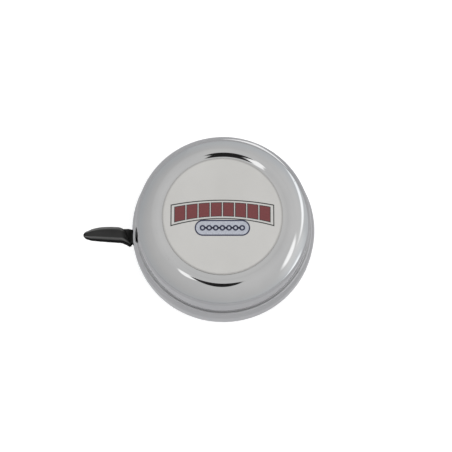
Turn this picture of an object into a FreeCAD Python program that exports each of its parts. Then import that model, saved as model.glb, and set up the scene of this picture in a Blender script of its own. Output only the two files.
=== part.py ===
"""Rotary thumb-lever bicycle bell for a 22.2 mm handlebar, as separate pieces.

Frame: origin at the centre of the handlebar clamp, +X along the handlebar, +Z up through the
bell's centre post, thumb lever pointing along -X. Millimetres.
"""

import FreeCAD, Part
import os
from math import acos, atan2, cos, degrees, hypot, pi, radians, sin, sqrt

import Sketcher
from fcgear import fcgear, involute

V = FreeCAD.Vector
ROT = FreeCAD.Rotation
Z_AXIS = V(0, 0, 1)
TINY = 1e-3              # mm, or mm3: smaller than any real difference here
PRESSURE_ANGLE = 20.0    # degrees, all gears
TOOTH_FILLET = 0.38      # root fillet as a share of the module

doc = FreeCAD.newDocument("bicycle_bell")
sheet = doc.addObject("Spreadsheet::Sheet", "dims")

# ---------------------------------------------------------------- driving dimensions
DIMENSIONS = [
    # shared by many pieces
    ("beyond", 1.0, "how far a cut reaches past what it cuts"),
    ("edge_break", 0.3, "chamfer on pins and peened heads"),
    ("end_break", 0.5, "chamfer on threaded ends and the post's head"),
    ("rim_round", 0.35, "rounding of the free edges of cup and dome"),
    ("end_play", 0.05, "axial play of a turning piece"),
    ("snug", 0.02, "gap between a piece and what holds it"),
    # handlebar clamp
    ("bar_radius", 11.1, "handlebar radius"),
    ("liner_wall", 1.0, "rubber liner thickness"),
    ("liner_flange", 13.4, "outer radius of the liner's end flanges"),
    ("liner_lip", 0.8, "thickness of a liner flange"),
    ("liner_room", 0.5, "room in the liner round the post's peened head"),
    ("strap_gap", 0.05, "slack between liner and steel"),
    ("strap_wall", 1.5, "clamp steel thickness"),
    ("strap_width", 12.0, "clamp width along the handlebar"),
    ("crown_half", 4.8, "half width of the saddle's flat crown"),
    ("ear_gap_half", 0.6, "half the gap between the clamp ears"),
    ("ear_end", 22.0, "reach of the clamp ears from the centre"),
    ("screw_place", 17.8, "clamp screw centre from the handlebar axis"),
    ("screw_radius", 2.0, "M4 clamp screw"),
    ("screw_hole", 2.2, "clearance hole in the ears"),
    ("screw_head", 3.9, "pan head radius"),
    ("screw_head_high", 2.7, "pan head height"),
    ("screw_head_bend", 1.3, "rounding of the pan head"),
    ("screw_tip", 8.6, "height of the screw tips"),
    ("slot_wide", 1.1, "screwdriver slot width"),
    ("slot_deep", 1.3, "screwdriver slot depth"),
    ("washer_high", 1.0, "spring washer thickness"),
    ("washer_radius", 3.6, "spring washer outer radius"),
    ("washer_play", 0.1, "radial play of a spring washer on its screw"),
    ("washer_split", 0.6, "gap in a spring washer"),
    ("nut_flats", 7.0, "M4 nut across flats"),
    ("nut_high", 3.2, "M4 nut height"),
    ("nut_crown", 0.1, "how far the nut's top face stays inside its flats"),
    # base cup
    ("floor_z", 13.65, "underside of the cup floor"),
    ("cup_wall", 0.9, "cup sheet thickness"),
    ("cup_radius", 30.0, "cup outer radius"),
    ("cup_corner", 5.45, "outer corner radius between floor and wall"),
    ("cup_straight", 4.5, "height of the cup's upright wall"),
    ("cup_lip_rise", 3.5, "height of the in-curved lip"),
    ("cup_lip_bend", 6.0, "bend radius of the in-curved lip"),
    ("slot_low_y", -5.1, "lever slot, end at rest"),
    ("slot_high_y", 5.1, "lever slot, end when pressed"),
    ("slot_low_z", 20.2, "lever slot, lower edge"),
    ("slot_high_z", 24.6, "lever slot, upper edge"),
    # dome
    ("rim_gap", 0.6, "gap between cup lip and dome rim"),
    ("dome_wall", 1.0, "dome sheet thickness"),
    ("wall_lean", 4.3, "lean of the dome's wall in degrees"),
    ("crest_z", 40.6, "top of the dome"),
    ("crest_radius", 21.6, "radius of the ring-shaped crest"),
    ("shoulder_bend", 2.5, "tight bend from the wall to the crown"),
    ("crown_turn", 45.0, "slope where shoulder and crown meet, in degrees"),
    ("crown_bend", 15.0, "broad bend of the crown"),
    ("crest_turn", 26.0, "slope where crown and crest meet, in degrees"),
    ("crest_bend", 3.35, "bend from the crown up to the crest"),
    ("bead_bend", 2.6, "bend from the crest down to the recess"),
    ("bead_slope", 24.0, "steepest slope of the recess's edge in degrees"),
    ("recess_bend", 1.9, "bend from the slope to the recess floor"),
    ("badge_radius", 19.3, "badge disc radius"),
    ("badge_thick", 0.28, "badge disc thickness"),
    ("badge_shift", 0.25, "how far the badge sits off centre along X and Y"),
    ("boss_hole", 3.5, "hole in the crown for the boss spigot"),
    ("boss_radius", 5.2, "threaded boss radius"),
    ("boss_flange", 8.0, "boss flange radius"),
    ("boss_flange_thick", 1.2, "boss flange thickness"),
    ("boss_room", 0.3, "room above the post inside the boss"),
    # centre post
    ("post_spigot", 2.6, "riveted spigot radius"),
    ("post_rivet", 4.0, "peened head radius"),
    ("post_rivet_high", 0.8, "peened head height"),
    ("post_base", 4.2, "post base radius"),
    ("post_base_z", 18.6, "top of the post base"),
    ("post_shank", 3.0, "bearing shank radius"),
    ("post_seat_z", 33.5, "shoulder that the dome boss rests on"),
    ("post_thread", 2.48, "M5 thread radius"),
    ("post_top_z", 38.6, "top of the post"),
    # gear train
    ("run", 0.03, "radial running clearance"),
    ("backlash", 0.1, "extra centre distance of each gear pair"),
    ("sector_module", 0.6, "module of sector and idler pinion"),
    ("train_module", 0.75, "module of idler gear and rotor pinion"),
    ("sector_teeth", 50, "teeth of the sector's full circle"),
    ("idler_pinion_teeth", 10, "teeth"),
    ("pinion_shift", 0.4, "profile shift of the idler pinion, taken off the sector"),
    ("idler_gear_teeth", 28, "teeth"),
    ("rotor_pinion_teeth", 14, "teeth"),
    ("sector_start", 43.0, "first edge of the toothed sector in degrees"),
    ("sector_end", 95.0, "last edge of the toothed sector in degrees"),
    ("pivot_x", -20.0, "lever pivot"),
    ("pivot_y", -3.0, "lever pivot"),
    ("idler_gear_z", 19.5, "underside of the idler gear"),
    ("idler_gear_thick", 1.2, "idler gear thickness"),
    ("idler_pinion_top", 23.7, "top of the idler pinion"),
    ("idler_spigot_wall", 0.65, "wall of the idler pinion's spigot"),
    ("arm_z", 21.7, "underside of the lever arm"),
    ("arm_thick", 1.5, "lever arm thickness"),
    ("arm_hub", 5.2, "radius of the arm around its pivot"),
    ("blade_half", 1.5, "half width of the arm's blade in the grip"),
    ("blade_reach", 20.0, "blade length from the pivot"),
    # pins
    ("pin_rivet", 2.6, "peened head radius under the floor"),
    ("pin_rivet_high", 0.6, "peened head height"),
    ("pin_spigot", 1.6, "spigot radius in the floor"),
    ("lever_pin_base", 3.0, "lever pin shoulder radius"),
    ("lever_pin", 2.0, "lever pin bearing radius"),
    ("idler_pin_base", 2.6, "idler pin shoulder radius"),
    ("idler_pin_z", 19.4, "top of the idler pin shoulder"),
    ("idler_pin", 1.25, "idler pin bearing radius"),
    ("clip_thick", 0.6, "retaining clip thickness"),
    ("clip_bite", 0.5, "groove depth"),
    ("clip_wide", 1.5, "radial width of a clip outside its shaft"),
    ("pin_end", 0.8, "shaft length above a clip"),
    # rotor
    ("thrust_washer", 0.5, "thrust washer thickness"),
    ("thrust_radius", 5.0, "thrust washer outer radius"),
    ("rotor_z", 19.15, "underside of the rotor pinion"),
    ("rotor_pinion_top", 21.0, "top of the rotor pinion's teeth"),
    ("hub_radius", 4.3, "rotor hub radius"),
    ("hub_top", 25.1, "top of the rotor hub"),
    ("hub_spigot", 3.75, "staked spigot radius"),
    ("hub_stake", 4.4, "staked rim radius"),
    ("hub_stake_high", 0.3, "staked rim height"),
    ("rotor_arm_thick", 1.0, "rotor arm thickness"),
    ("rotor_arm_half", 4.0, "half width of the rotor arm"),
    ("rotor_arm_flat", 8.0, "half length of the arm's low part"),
    ("rotor_arm_step", 11.0, "radius where the arm's high part starts"),
    ("rotor_arm_rise", 2.6, "height of the crank in the arm"),
    ("rotor_arm_end", 24.4, "arm end radius"),
    ("rotor_arm_corner", 3.6, "rounding of the arm's ends"),
    ("striker_place", 20.0, "striker pin radius from the post"),
    ("striker_pin", 2.2, "striker pin radius"),
    ("striker_head", 4.7, "striker pin head radius"),
    ("striker_head_high", 0.9, "striker pin head height"),
    ("striker_stake", 3.2, "radius of the striker pin's peened end"),
    ("striker_stake_high", 0.7, "height of the striker pin's peened end"),
    ("striker_radius", 6.0, "striker disc radius"),
    ("striker_bore", 3.4, "striker disc hole radius"),
    ("striker_thick", 3.0, "striker disc thickness"),
    ("striker_chamfer", 0.5, "striker disc edge break"),
    ("side_play", 0.2, "axial play of a striker disc"),
    # return spring
    ("coil_radius", 3.8, "mean coil radius"),
    ("wire_radius", 0.45, "wire radius"),
    ("coil_z", 15.5, "centre of the lowest wire"),
    ("coil_pitch", 1.05, "rise per turn"),
    ("coil_turns", 4.5, "turns"),
    ("leg_length", 6.5, "length of each straight leg"),
    ("anchor_radius", 1.0, "spring anchor pin radius"),
    ("anchor_top", 17.0, "top of the spring anchor pin"),
    ("anchor_spigot", 0.8, "anchor pin spigot radius"),
    ("anchor_rivet", 0.4, "height and overhang of the anchor pin's peened head"),
    ("tab_drop", 2.3, "drop of the arm's spring tab"),
    ("tab_thick", 1.2, "thickness of the arm's spring tab"),
    ("tab_wide", 2.4, "width of the arm's spring tab"),
    ("leg_grip", 5.4, "how far along its leg the spring is held"),
    # thumb grip
    ("grip_z", 19.3, "underside of the thumb grip"),
    ("grip_high", 6.6, "height of the thumb grip"),
    ("grip_round", 0.55, "edge rounding of the thumb grip"),
    ("grip_root_x", -30.9, "near corner of the grip's root"),
    ("grip_root_y", -5.2, "near corner of the grip's root"),
    ("grip_heel_x", -32.3, "far corner of the grip's root"),
    ("grip_heel_y", -0.1, "far corner of the grip's root"),
    ("grip_tip_x", -45.6, "thumb grip tip"),
    ("grip_tip_far", -0.95, "far end of the tip's rounding"),
    ("grip_tip_near", -2.35, "near end of the tip's rounding"),
    ("grip_tip_bend", 0.8, "tip rounding"),
    ("grip_knee_x", -34.2, "where the near side starts to flare"),
    ("grip_knee_y", -3.65, "where the near side starts to flare"),
    ("grip_far_bend", 19.0, "bow of the far side"),
    ("grip_near_bend", 50.0, "bow of the near side"),
    ("grip_flare_bend", 12.0, "hollow of the flare"),
    ("neck_z", 20.7, "underside of the grip's neck"),
    ("neck_high", 3.5, "height of the grip's neck"),
    ("neck_half", 2.2, "half width of the grip's neck"),
    ("neck_start", 6.3, "inner end of the neck from the pivot"),
    ("neck_end", 13.5, "outer end of the neck from the pivot"),
    ("grip_bearing", 176.0, "direction of the neck from the pivot in degrees"),
]

# ---------------------------------------------------------------- sizes worked out from those
STRAP_IN = "(bar_radius + liner_wall + strap_gap)"
STRAP_OUT = f"({STRAP_IN} + strap_wall)"
STRAP_TOP = "(ear_gap_half + strap_wall)"
CUP_WALL_TOP = "(floor_z + cup_corner + cup_straight)"
CUP_TOP = f"({CUP_WALL_TOP} + cup_lip_rise)"
RIM_Z = f"({CUP_TOP} + rim_gap)"
RECESS_Z = "(crest_z - (bead_bend + recess_bend) * (1 - cos(bead_slope)))"
RECESS_RADIUS = "(crest_radius - (bead_bend + recess_bend) * sin(bead_slope))"
LEVER_SEAT = "(arm_z - end_play)"
LEVER_CLIP_Z = "(arm_z + arm_thick + end_play)"
IDLER_CLIP_Z = "(idler_pinion_top + end_play)"
ARM_TOP = "(hub_top + rotor_arm_thick)"
ROTOR_CLIP_Z = f"({ARM_TOP} + hub_stake_high + end_play)"
STRIKER_LOW = f"({ARM_TOP} + rotor_arm_rise)"
STRIKER_HEAD_Z = f"({STRIKER_LOW} + striker_thick + 2 * side_play)"
ANCHOR_X = "pivot_x + coil_radius + wire_radius + snug + anchor_radius"
ANCHOR_Y = "pivot_y + leg_grip"


def fill_sheet():
    """Writes every driving dimension to its own aliased cell."""
    for row, (alias, value, note) in enumerate(DIMENSIONS, start=1):
        sheet.set(f"A{row}", alias)
        sheet.set(f"B{row}", str(value))
        sheet.set(f"C{row}", note)
        sheet.setAlias(f"B{row}", alias)
    doc.recompute()


def size(alias):
    """The number in a cell."""
    return float(getattr(sheet, alias))


def number(formula):
    """What a formula over the sheet's aliases comes to."""
    found = sheet.evalExpression(formula)
    return float(getattr(found, "Value", found))


def linked(formula):
    """The same formula with each alias written as a reference to the sheet."""
    words, word = [], ""
    for letter in formula + " ":
        if letter.isalnum() or letter == "_":
            word += letter
            continue
        words.append(f"{sheet.Name}.{word}" if word in ALIASES else word)
        words.append(letter)
        word = ""
    return "".join(words).strip()


def bind(thing, prop, formula):
    """Ties one property of an object to the sheet."""
    thing.setExpression(prop, linked(formula))


ALIASES = {alias for alias, _, _ in DIMENSIONS}


# ---------------------------------------------------------------- small building blocks
def body(label, x="0", y="0"):
    """A PartDesign body standing at x, y."""
    made = doc.addObject("PartDesign::Body", label)
    made.Label = label
    for axis, formula in (("x", x), ("y", y)):
        if formula != "0":
            bind(made, f"Placement.Base.{axis}", formula)
    doc.recompute()
    return made


def sketch_on(holder, plane, name, height="0"):
    """An empty sketch on one of a body's origin planes, lifted along its normal."""
    face = next(f for f in holder.Origin.OriginFeatures if f.Role == plane)
    made = holder.newObject("Sketcher::SketchObject", name)
    made.AttachmentSupport = [(face, "")]
    made.MapMode = "FlatFace"
    if height != "0":
        bind(made, "AttachmentOffset.Base.z", height)
    return made


def pin_point(sketch, geometry, end, x, y):
    """Fixes a sketch vertex at x, y, both formulas over the sheet's aliases."""
    for kind, axis, formula in (("DistanceX", -2, x), ("DistanceY", -1, y)):
        value = number(formula)
        if abs(value) < TINY**2:
            sketch.addConstraint(Sketcher.Constraint("PointOnObject", geometry, end, axis))
            continue
        made = sketch.addConstraint(Sketcher.Constraint(kind, -1, 1, geometry, end, value))
        bind(sketch, f"Constraints[{made}]", formula)


def arc_between(start, end, radius):
    """The short arc of that radius from start to end: anticlockwise if radius > 0, else clockwise."""
    chord = end - start
    middle = (start + end) * 0.5
    away = V(-chord.y, chord.x, 0).normalize()
    rise = sqrt(radius * radius - (chord.Length / 2) ** 2)
    centre = middle + away * (rise if radius > 0 else -rise)
    first, last = (start, end) if radius > 0 else (end, start)
    angles = [atan2(p.y - centre.y, p.x - centre.x) for p in (first, last)]
    if angles[1] < angles[0]:
        angles[1] += 2 * pi
    return Part.ArcOfCircle(Part.Circle(centre, Z_AXIS, abs(radius)), *angles)


def outline(holder, plane, name, corners, height="0"):
    """A closed sketch through the corners. A corner is (x, y) or (x, y, radius of the arc to the next)."""
    made = sketch_on(holder, plane, name, height)
    places = [V(number(c[0]), number(c[1]), 0) for c in corners]
    ends = []
    for i, corner in enumerate(corners):
        here, there = places[i], places[(i + 1) % len(places)]
        if len(corner) == 2:
            edge = made.addGeometry(Part.LineSegment(here, there), False)
            ends.append((edge, 1, 2))
            continue
        radius = number(corner[2])
        edge = made.addGeometry(arc_between(here, there, radius), False)
        ends.append((edge, 1, 2) if radius > 0 else (edge, 2, 1))
        bend = made.addConstraint(Sketcher.Constraint("Radius", edge, abs(radius)))
        bind(made, f"Constraints[{bend}]", corner[2].lstrip("-"))
    for i, (edge, first, _) in enumerate(ends):
        before, _, last = ends[i - 1]
        made.addConstraint(Sketcher.Constraint("Coincident", before, last, edge, first))
        pin_point(made, edge, first, corners[i][0], corners[i][1])
    doc.recompute()
    return made


def circle(holder, plane, name, x, y, radius, height="0"):
    """A sketch of one circle."""
    made = sketch_on(holder, plane, name, height)
    centre = V(number(x), number(y), 0)
    edge = made.addGeometry(Part.Circle(centre, Z_AXIS, number(radius)), False)
    pin_point(made, edge, 3, x, y)
    bend = made.addConstraint(Sketcher.Constraint("Radius", edge, number(radius)))
    bind(made, f"Constraints[{bend}]", radius)
    doc.recompute()
    return made


def feature(holder, kind, name, profile):
    made = holder.newObject(kind, name)
    made.Profile = profile
    return made


def revolve(holder, corners, name="profile"):
    """Turns an outline in the XZ plane a full turn about Z."""
    profile = outline(holder, "XZ_Plane", name, corners)
    made = feature(holder, "PartDesign::Revolution", f"{name}_turned", profile)
    made.ReferenceAxis = (profile, ["V_Axis"])
    made.Angle = 360
    doc.recompute()
    return made


def pad(holder, profile, length, midplane=False):
    made = feature(holder, "PartDesign::Pad", f"{profile.Name}_pad", profile)
    bind(made, "Length", length)
    made.Midplane = midplane
    doc.recompute()
    return made


def pocket(holder, profile, length, midplane=False):
    """Cuts a profile into the body, and makes sure that something was cut."""
    before = holder.Shape.Volume
    made = feature(holder, "PartDesign::Pocket", f"{profile.Name}_cut", profile)
    bind(made, "Length", length)
    made.Midplane = midplane
    doc.recompute()
    if holder.Shape.Volume > before - TINY:
        made.Reversed = True
        doc.recompute()
    if holder.Shape.Volume > before - TINY:
        raise ValueError(f"{profile.Name} cuts nothing")
    return made


def round_edges(holder, radius, wanted):
    """Fillets the edges of the body's tip that wanted(edge) picks."""
    base = holder.Tip
    names = [f"Edge{i}" for i, e in enumerate(base.Shape.Edges, start=1) if wanted(e)]
    if not names:
        raise ValueError(f"no edges to round on {holder.Label}")
    made = holder.newObject("PartDesign::Fillet", f"{holder.Name}_round")
    made.Base = (base, names)
    bind(made, "Radius", radius)
    doc.recompute()
    return made


def primitive(kind, name, place=None, **sizes):
    """A Part primitive whose sizes and place are formulas over the sheet."""
    made = doc.addObject(kind, name)
    for prop, formula in sizes.items():
        bind(made, prop, formula)
    for axis, formula in zip("xyz", place or ()):
        if formula != "0":
            bind(made, f"Placement.Base.{axis}", formula)
    doc.recompute()
    return made


def cut(label, base, *tools):
    """base less every tool."""
    for i, tool in enumerate(tools, start=1):
        name = label if i == len(tools) else f"{label}_step{i}"
        made = doc.addObject("Part::Cut", name)
        made.Base, made.Tool = base, tool
        base = made
    base.Label = label
    doc.recompute()
    return base


def fuse(label, *shapes):
    made = doc.addObject("Part::MultiFuse", label)
    made.Shapes = list(shapes)
    made.Label = label
    doc.recompute()
    return made


def pair(label, single):
    """A piece and its mirror image in the XZ plane, as one node of two solids."""
    other = doc.addObject("Part::Mirroring", f"{label}_other")
    other.Source = single
    other.Normal = V(0, 1, 0)
    made = doc.addObject("Part::Compound", label)
    made.Links = [single, other]
    made.Label = label
    doc.recompute()
    return made


# ---------------------------------------------------------------- gear geometry
def centre_distance(first, second, module):
    """How far apart two meshing gears stand, with their backlash."""
    return (size(first) + size(second)) * size(module) / 2 + size("backlash")


def idler_centre():
    """The idler stands at its mesh distance from both the lever pivot and the centre post."""
    to_post = centre_distance("idler_gear_teeth", "rotor_pinion_teeth", "train_module")
    to_pivot = centre_distance("sector_teeth", "idler_pinion_teeth", "sector_module")
    pivot = V(size("pivot_x"), size("pivot_y"), 0)
    apart = pivot.Length
    corner = acos((apart**2 + to_post**2 - to_pivot**2) / (2 * apart * to_post))
    bearing = atan2(pivot.y, pivot.x) - corner
    return V(to_post * cos(bearing), to_post * sin(bearing), 0)


def bearing_of(start, end):
    """Direction from start to end, in degrees."""
    return degrees(atan2(end.y - start.y, end.x - start.x))


def toothed_wheel(name, teeth, module, centre, angle, low, thick, shift=0.0):
    """A gear with one tooth centred on that angle, extruded upward from a height."""
    builder = fcgear.FCWireBuilder()
    involute.CreateExternalGear(
        builder, size(module), int(size(teeth)), PRESSURE_ANGLE, split=True, filletCoeff=TOOTH_FILLET,
        shiftCoeff=shift
    )
    wire = Part.Wire([piece.toShape() for piece in builder.wire])
    rim = doc.addObject("Part::Feature", f"{name}_outline")
    rim.Shape = Part.Face(wire)
    rim.Placement = FreeCAD.Placement(centre + V(0, 0, number(low)), ROT(Z_AXIS, angle))
    made = doc.addObject("Part::Extrusion", name)
    made.Base = rim
    made.DirMode = "Custom"
    made.Dir = Z_AXIS
    made.Solid = True
    bind(made, "LengthFwd", thick)
    doc.recompute()
    return made


def disc(name, radius, low, high, centre=None):
    """A cylinder between two heights, on the post's axis or another centre."""
    made = primitive("Part::Cylinder", name, Radius=radius, Height=f"{high} - ({low})")
    bind(made, "Placement.Base.z", low)
    if centre is not None:
        made.Placement.Base = V(centre.x, centre.y, number(low))
    doc.recompute()
    return made


# ---------------------------------------------------------------- handlebar clamp
def band(label, corners, side):
    """A clamp half: its outline pressed across the bar, with a screw hole in each ear."""
    made = body(label)
    pad(made, outline(made, "YZ_Plane", f"{label}_outline", corners), "strap_width", midplane=True)
    for y in ("screw_place", "-screw_place"):
        hole = circle(made, "XY_Plane", f"{label}_hole", "0", y, "screw_hole", f"{side}ear_gap_half")
        pocket(made, hole, "2 * strap_wall + beyond", midplane=True)
    return made


def clamp_saddle():
    """Upper clamp half: its flat crown carries the cup, its ears take the screws."""
    slant = f"(2 * atan(crown_half / {STRAP_OUT}))"
    crown_in = f"(crown_half * {STRAP_IN} / {STRAP_OUT})"
    corners = [
        ("ear_end", "ear_gap_half"),
        ("ear_end", STRAP_TOP),
        (f"sqrt({STRAP_OUT}^2 - {STRAP_TOP}^2)", STRAP_TOP, STRAP_OUT),
        (f"{STRAP_OUT} * sin({slant})", f"{STRAP_OUT} * cos({slant})"),
        ("crown_half", STRAP_OUT),
        ("-crown_half", STRAP_OUT),
        (f"-{STRAP_OUT} * sin({slant})", f"{STRAP_OUT} * cos({slant})", STRAP_OUT),
        (f"-sqrt({STRAP_OUT}^2 - {STRAP_TOP}^2)", STRAP_TOP),
        ("-ear_end", STRAP_TOP),
        ("-ear_end", "ear_gap_half"),
        (f"-sqrt({STRAP_IN}^2 - ear_gap_half^2)", "ear_gap_half", f"-{STRAP_IN}"),
        (f"-{STRAP_IN} * sin({slant})", f"{STRAP_IN} * cos({slant})"),
        (f"-{crown_in}", STRAP_IN),
        (crown_in, STRAP_IN),
        (f"{STRAP_IN} * sin({slant})", f"{STRAP_IN} * cos({slant})", f"-{STRAP_IN}"),
        (f"sqrt({STRAP_IN}^2 - ear_gap_half^2)", "ear_gap_half"),
    ]
    made = band("clamp_saddle", corners, "")
    hole = circle(made, "XY_Plane", "rivet_hole", "0", "0", "post_spigot", STRAP_IN)
    pocket(made, hole, "4 * strap_wall", midplane=True)
    return made


def clamp_strap():
    """Lower clamp half: a half ring with two ears."""
    corners = [
        ("ear_end", "-ear_gap_half"),
        (f"sqrt({STRAP_IN}^2 - ear_gap_half^2)", "-ear_gap_half", f"-{STRAP_IN}"),
        (f"-sqrt({STRAP_IN}^2 - ear_gap_half^2)", "-ear_gap_half"),
        ("-ear_end", "-ear_gap_half"),
        ("-ear_end", f"-{STRAP_TOP}"),
        (f"-sqrt({STRAP_OUT}^2 - {STRAP_TOP}^2)", f"-{STRAP_TOP}", STRAP_OUT),
        (f"sqrt({STRAP_OUT}^2 - {STRAP_TOP}^2)", f"-{STRAP_TOP}"),
        ("ear_end", f"-{STRAP_TOP}"),
    ]
    return band("clamp_strap", corners, "-")


def clamp_liner():
    """Split rubber ring between bar and clamp, flanged at both ends, open above for the rivet."""
    made = body("clamp_liner")
    wide = "(strap_width / 2 + strap_gap)"
    corners = [
        (f"-({wide} + liner_lip)", "bar_radius"),
        (f"{wide} + liner_lip", "bar_radius"),
        (f"{wide} + liner_lip", "liner_flange"),
        (wide, "liner_flange"),
        (wide, "bar_radius + liner_wall"),
        (f"-{wide}", "bar_radius + liner_wall"),
        (f"-{wide}", "liner_flange"),
        (f"-({wide} + liner_lip)", "liner_flange"),
    ]
    profile = outline(made, "XZ_Plane", "liner_section", corners)
    ring = feature(made, "PartDesign::Revolution", "liner_ring", profile)
    ring.ReferenceAxis = (profile, ["H_Axis"])
    ring.Angle = 360
    doc.recompute()
    pocket(made, circle(made, "XY_Plane", "rivet_room", "0", "0", "post_rivet + liner_room", "bar_radius"),
           "6 * liner_wall", midplane=True)
    far, near = "-liner_flange - beyond", "-bar_radius + beyond"
    right, left = f"({wide} + 2 * liner_lip)", f"-({wide} + 2 * liner_lip)"
    split = outline(made, "XY_Plane", "split", [(left, far), (right, far), (right, near), (left, near)])
    pocket(made, split, "2 * ear_gap_half", midplane=True)
    return made


def clamp_screws():
    """Two M4 pan-head screws, heads below, so that a screwdriver reaches them under the cup."""
    made = body("clamp_screw", y="screw_place")
    head = f"(-{STRAP_TOP})"
    revolve(made, [
        ("0", f"{head} - screw_head_high"),
        ("screw_head - screw_head_bend", f"{head} - screw_head_high", "screw_head_bend"),
        ("screw_head", f"{head} - screw_head_high + screw_head_bend"),
        ("screw_head", head),
        ("screw_radius", head),
        ("screw_radius", "screw_tip - end_break"),
        ("screw_radius - end_break", "screw_tip"),
        ("0", "screw_tip"),
    ], "screw_turned")
    slot = outline(made, "XY_Plane", "slot", [
        ("-slot_wide / 2", "-screw_head - beyond"), ("slot_wide / 2", "-screw_head - beyond"),
        ("slot_wide / 2", "screw_head + beyond"), ("-slot_wide / 2", "screw_head + beyond"),
    ], f"{head} - screw_head_high")
    pocket(made, slot, "2 * slot_deep", midplane=True)
    return pair("clamp_screws", made)


def clamp_lock_washers():
    """Split spring washers under the nuts."""
    spot = V(0, size("screw_place"), 0)
    top = f"{STRAP_TOP} + washer_high"
    ring = disc("washer_disc", "washer_radius", STRAP_TOP, top, spot)
    hole = disc("washer_hole", "screw_radius + washer_play", STRAP_TOP, top, spot)
    gap = primitive("Part::Box", "washer_gap", ("0", "screw_place - washer_split / 2", STRAP_TOP),
                    Length="washer_radius + beyond", Width="washer_split", Height="washer_high")
    return pair("clamp_lock_washers", cut("clamp_lock_washer", ring, hole, gap))


def clamp_nuts():
    """Two M4 hexagon nuts."""
    spot = V(0, size("screw_place"), 0)
    low = f"({STRAP_TOP} + washer_high)"
    blank = primitive("Part::Prism", "nut_blank", ("0", "screw_place", low),
                      Circumradius="nut_flats / 2 / cos(30)", Height="nut_high")
    blank.Polygon = 6
    round_off = primitive("Part::Cone", "nut_cone", ("0", "screw_place", low),
                          Radius1="nut_flats", Radius2="nut_flats / 2 - nut_crown", Height="nut_high")
    crowned = doc.addObject("Part::Common", "nut_crowned")
    crowned.Base, crowned.Tool = blank, round_off
    bore = disc("nut_bore", "screw_radius + snug", low, f"{low} + nut_high", spot)
    return pair("clamp_nuts", cut("clamp_nut", crowned, bore))


# ---------------------------------------------------------------- cup, dome and post
def base_cup():
    """Pressed steel cup with an in-curved lip, a slot for the lever and four rivet holes."""
    made = body("base_cup")
    lip = "cup_radius - cup_lip_bend + sqrt({}^2 - cup_lip_rise^2)"
    inner_bend = "(cup_lip_bend - cup_wall)"
    floor_top = "floor_z + cup_wall"
    revolve(made, [
        ("post_spigot", "floor_z"),
        ("cup_radius - cup_corner", "floor_z", "cup_corner"),
        ("cup_radius", "floor_z + cup_corner"),
        ("cup_radius", CUP_WALL_TOP, "cup_lip_bend"),
        (lip.format("cup_lip_bend"), CUP_TOP),
        (lip.format(inner_bend), CUP_TOP, f"-{inner_bend}"),
        ("cup_radius - cup_wall", CUP_WALL_TOP),
        ("cup_radius - cup_wall", "floor_z + cup_corner", "-(cup_corner - cup_wall)"),
        ("cup_radius - cup_corner", floor_top),
        ("post_spigot", floor_top),
    ], "cup")
    slot = outline(made, "YZ_Plane", "lever_slot", [
        ("slot_low_y", "slot_low_z"), ("slot_high_y", "slot_low_z"),
        ("slot_high_y", "slot_high_z"), ("slot_low_y", "slot_high_z"),
    ], "-cup_radius")
    pocket(made, slot, "2 * cup_corner", midplane=True)
    idler = idler_centre()
    holes = [
        ("pivot_x", "pivot_y", "pin_spigot"),
        (str(round(idler.x, 5)), str(round(idler.y, 5)), "pin_spigot"),
        (ANCHOR_X, ANCHOR_Y, "anchor_spigot"),
    ]
    for x, y, radius in holes:
        hole = circle(made, "XY_Plane", "rivet_hole", x, y, radius, "floor_z")
        pocket(made, hole, "4 * cup_wall", midplane=True)
    top = number(CUP_TOP)
    round_edges(made, "rim_round",
                lambda e: abs(e.BoundBox.ZMin - top) < TINY and e.BoundBox.ZLength < TINY)
    return made


def dome_points(inset):
    """Corners of the dome's skin from the rim to the recess, set in from its outer face."""
    crown_x = "(crest_radius - (crown_bend - crest_bend) * sin(crest_turn))"
    crown_z = "(crest_z - crest_bend - (crown_bend - crest_bend) * cos(crest_turn))"
    shoulder_x = f"({crown_x} + (crown_bend - shoulder_bend) * sin(crown_turn))"
    shoulder_z = f"({crown_z} + (crown_bend - shoulder_bend) * cos(crown_turn))"

    def on_bend(x, z, bend, turn, side="+"):
        """The point where a bend of that centre and radius has that slope."""
        return f"{x} {side} ({bend} - {inset}) * sin({turn})", f"{z} + ({bend} - {inset}) * cos({turn})"

    wall_x, wall_z = on_bend(shoulder_x, shoulder_z, "shoulder_bend", "(90 - wall_lean)")
    return {
        "rim": (f"{wall_x} + ({wall_z} - {RIM_Z}) * tan(wall_lean)", RIM_Z),
        "wall": (wall_x, wall_z),
        "shoulder": on_bend(crown_x, crown_z, "crown_bend", "crown_turn"),
        "crown": on_bend("crest_radius", "crest_z - crest_bend", "crest_bend", "crest_turn"),
        "crest": ("crest_radius", f"crest_z - {inset}"),
        "slope": on_bend("crest_radius", "crest_z - bead_bend", "bead_bend", "bead_slope", "-"),
        "recess": (RECESS_RADIUS, f"{RECESS_Z} - {inset}"),
    }


def bell_dome():
    """Spun steel dome: leaning wall, tight shoulder, broad crown, raised ring and shallow recess."""
    made = body("bell_dome")
    outer, inner = dome_points("0"), dome_points("dome_wall")
    revolve(made, [
        outer["rim"],
        (*outer["wall"], "shoulder_bend"),
        (*outer["shoulder"], "crown_bend"),
        (*outer["crown"], "crest_bend"),
        (*outer["crest"], "bead_bend"),
        (*outer["slope"], "-recess_bend"),
        outer["recess"],
        ("boss_hole", RECESS_Z),
        ("boss_hole", f"{RECESS_Z} - dome_wall"),
        (*inner["recess"], "recess_bend + dome_wall"),
        (*inner["slope"], "-(bead_bend - dome_wall)"),
        (*inner["crest"], "-(crest_bend - dome_wall)"),
        (*inner["crown"], "-(crown_bend - dome_wall)"),
        (*inner["shoulder"], "-(shoulder_bend - dome_wall)"),
        inner["wall"],
        inner["rim"],
    ], "dome")
    rim = number(RIM_Z)
    round_edges(made, "rim_round", lambda e: e.BoundBox.ZMax < rim + TINY)
    return made


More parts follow.
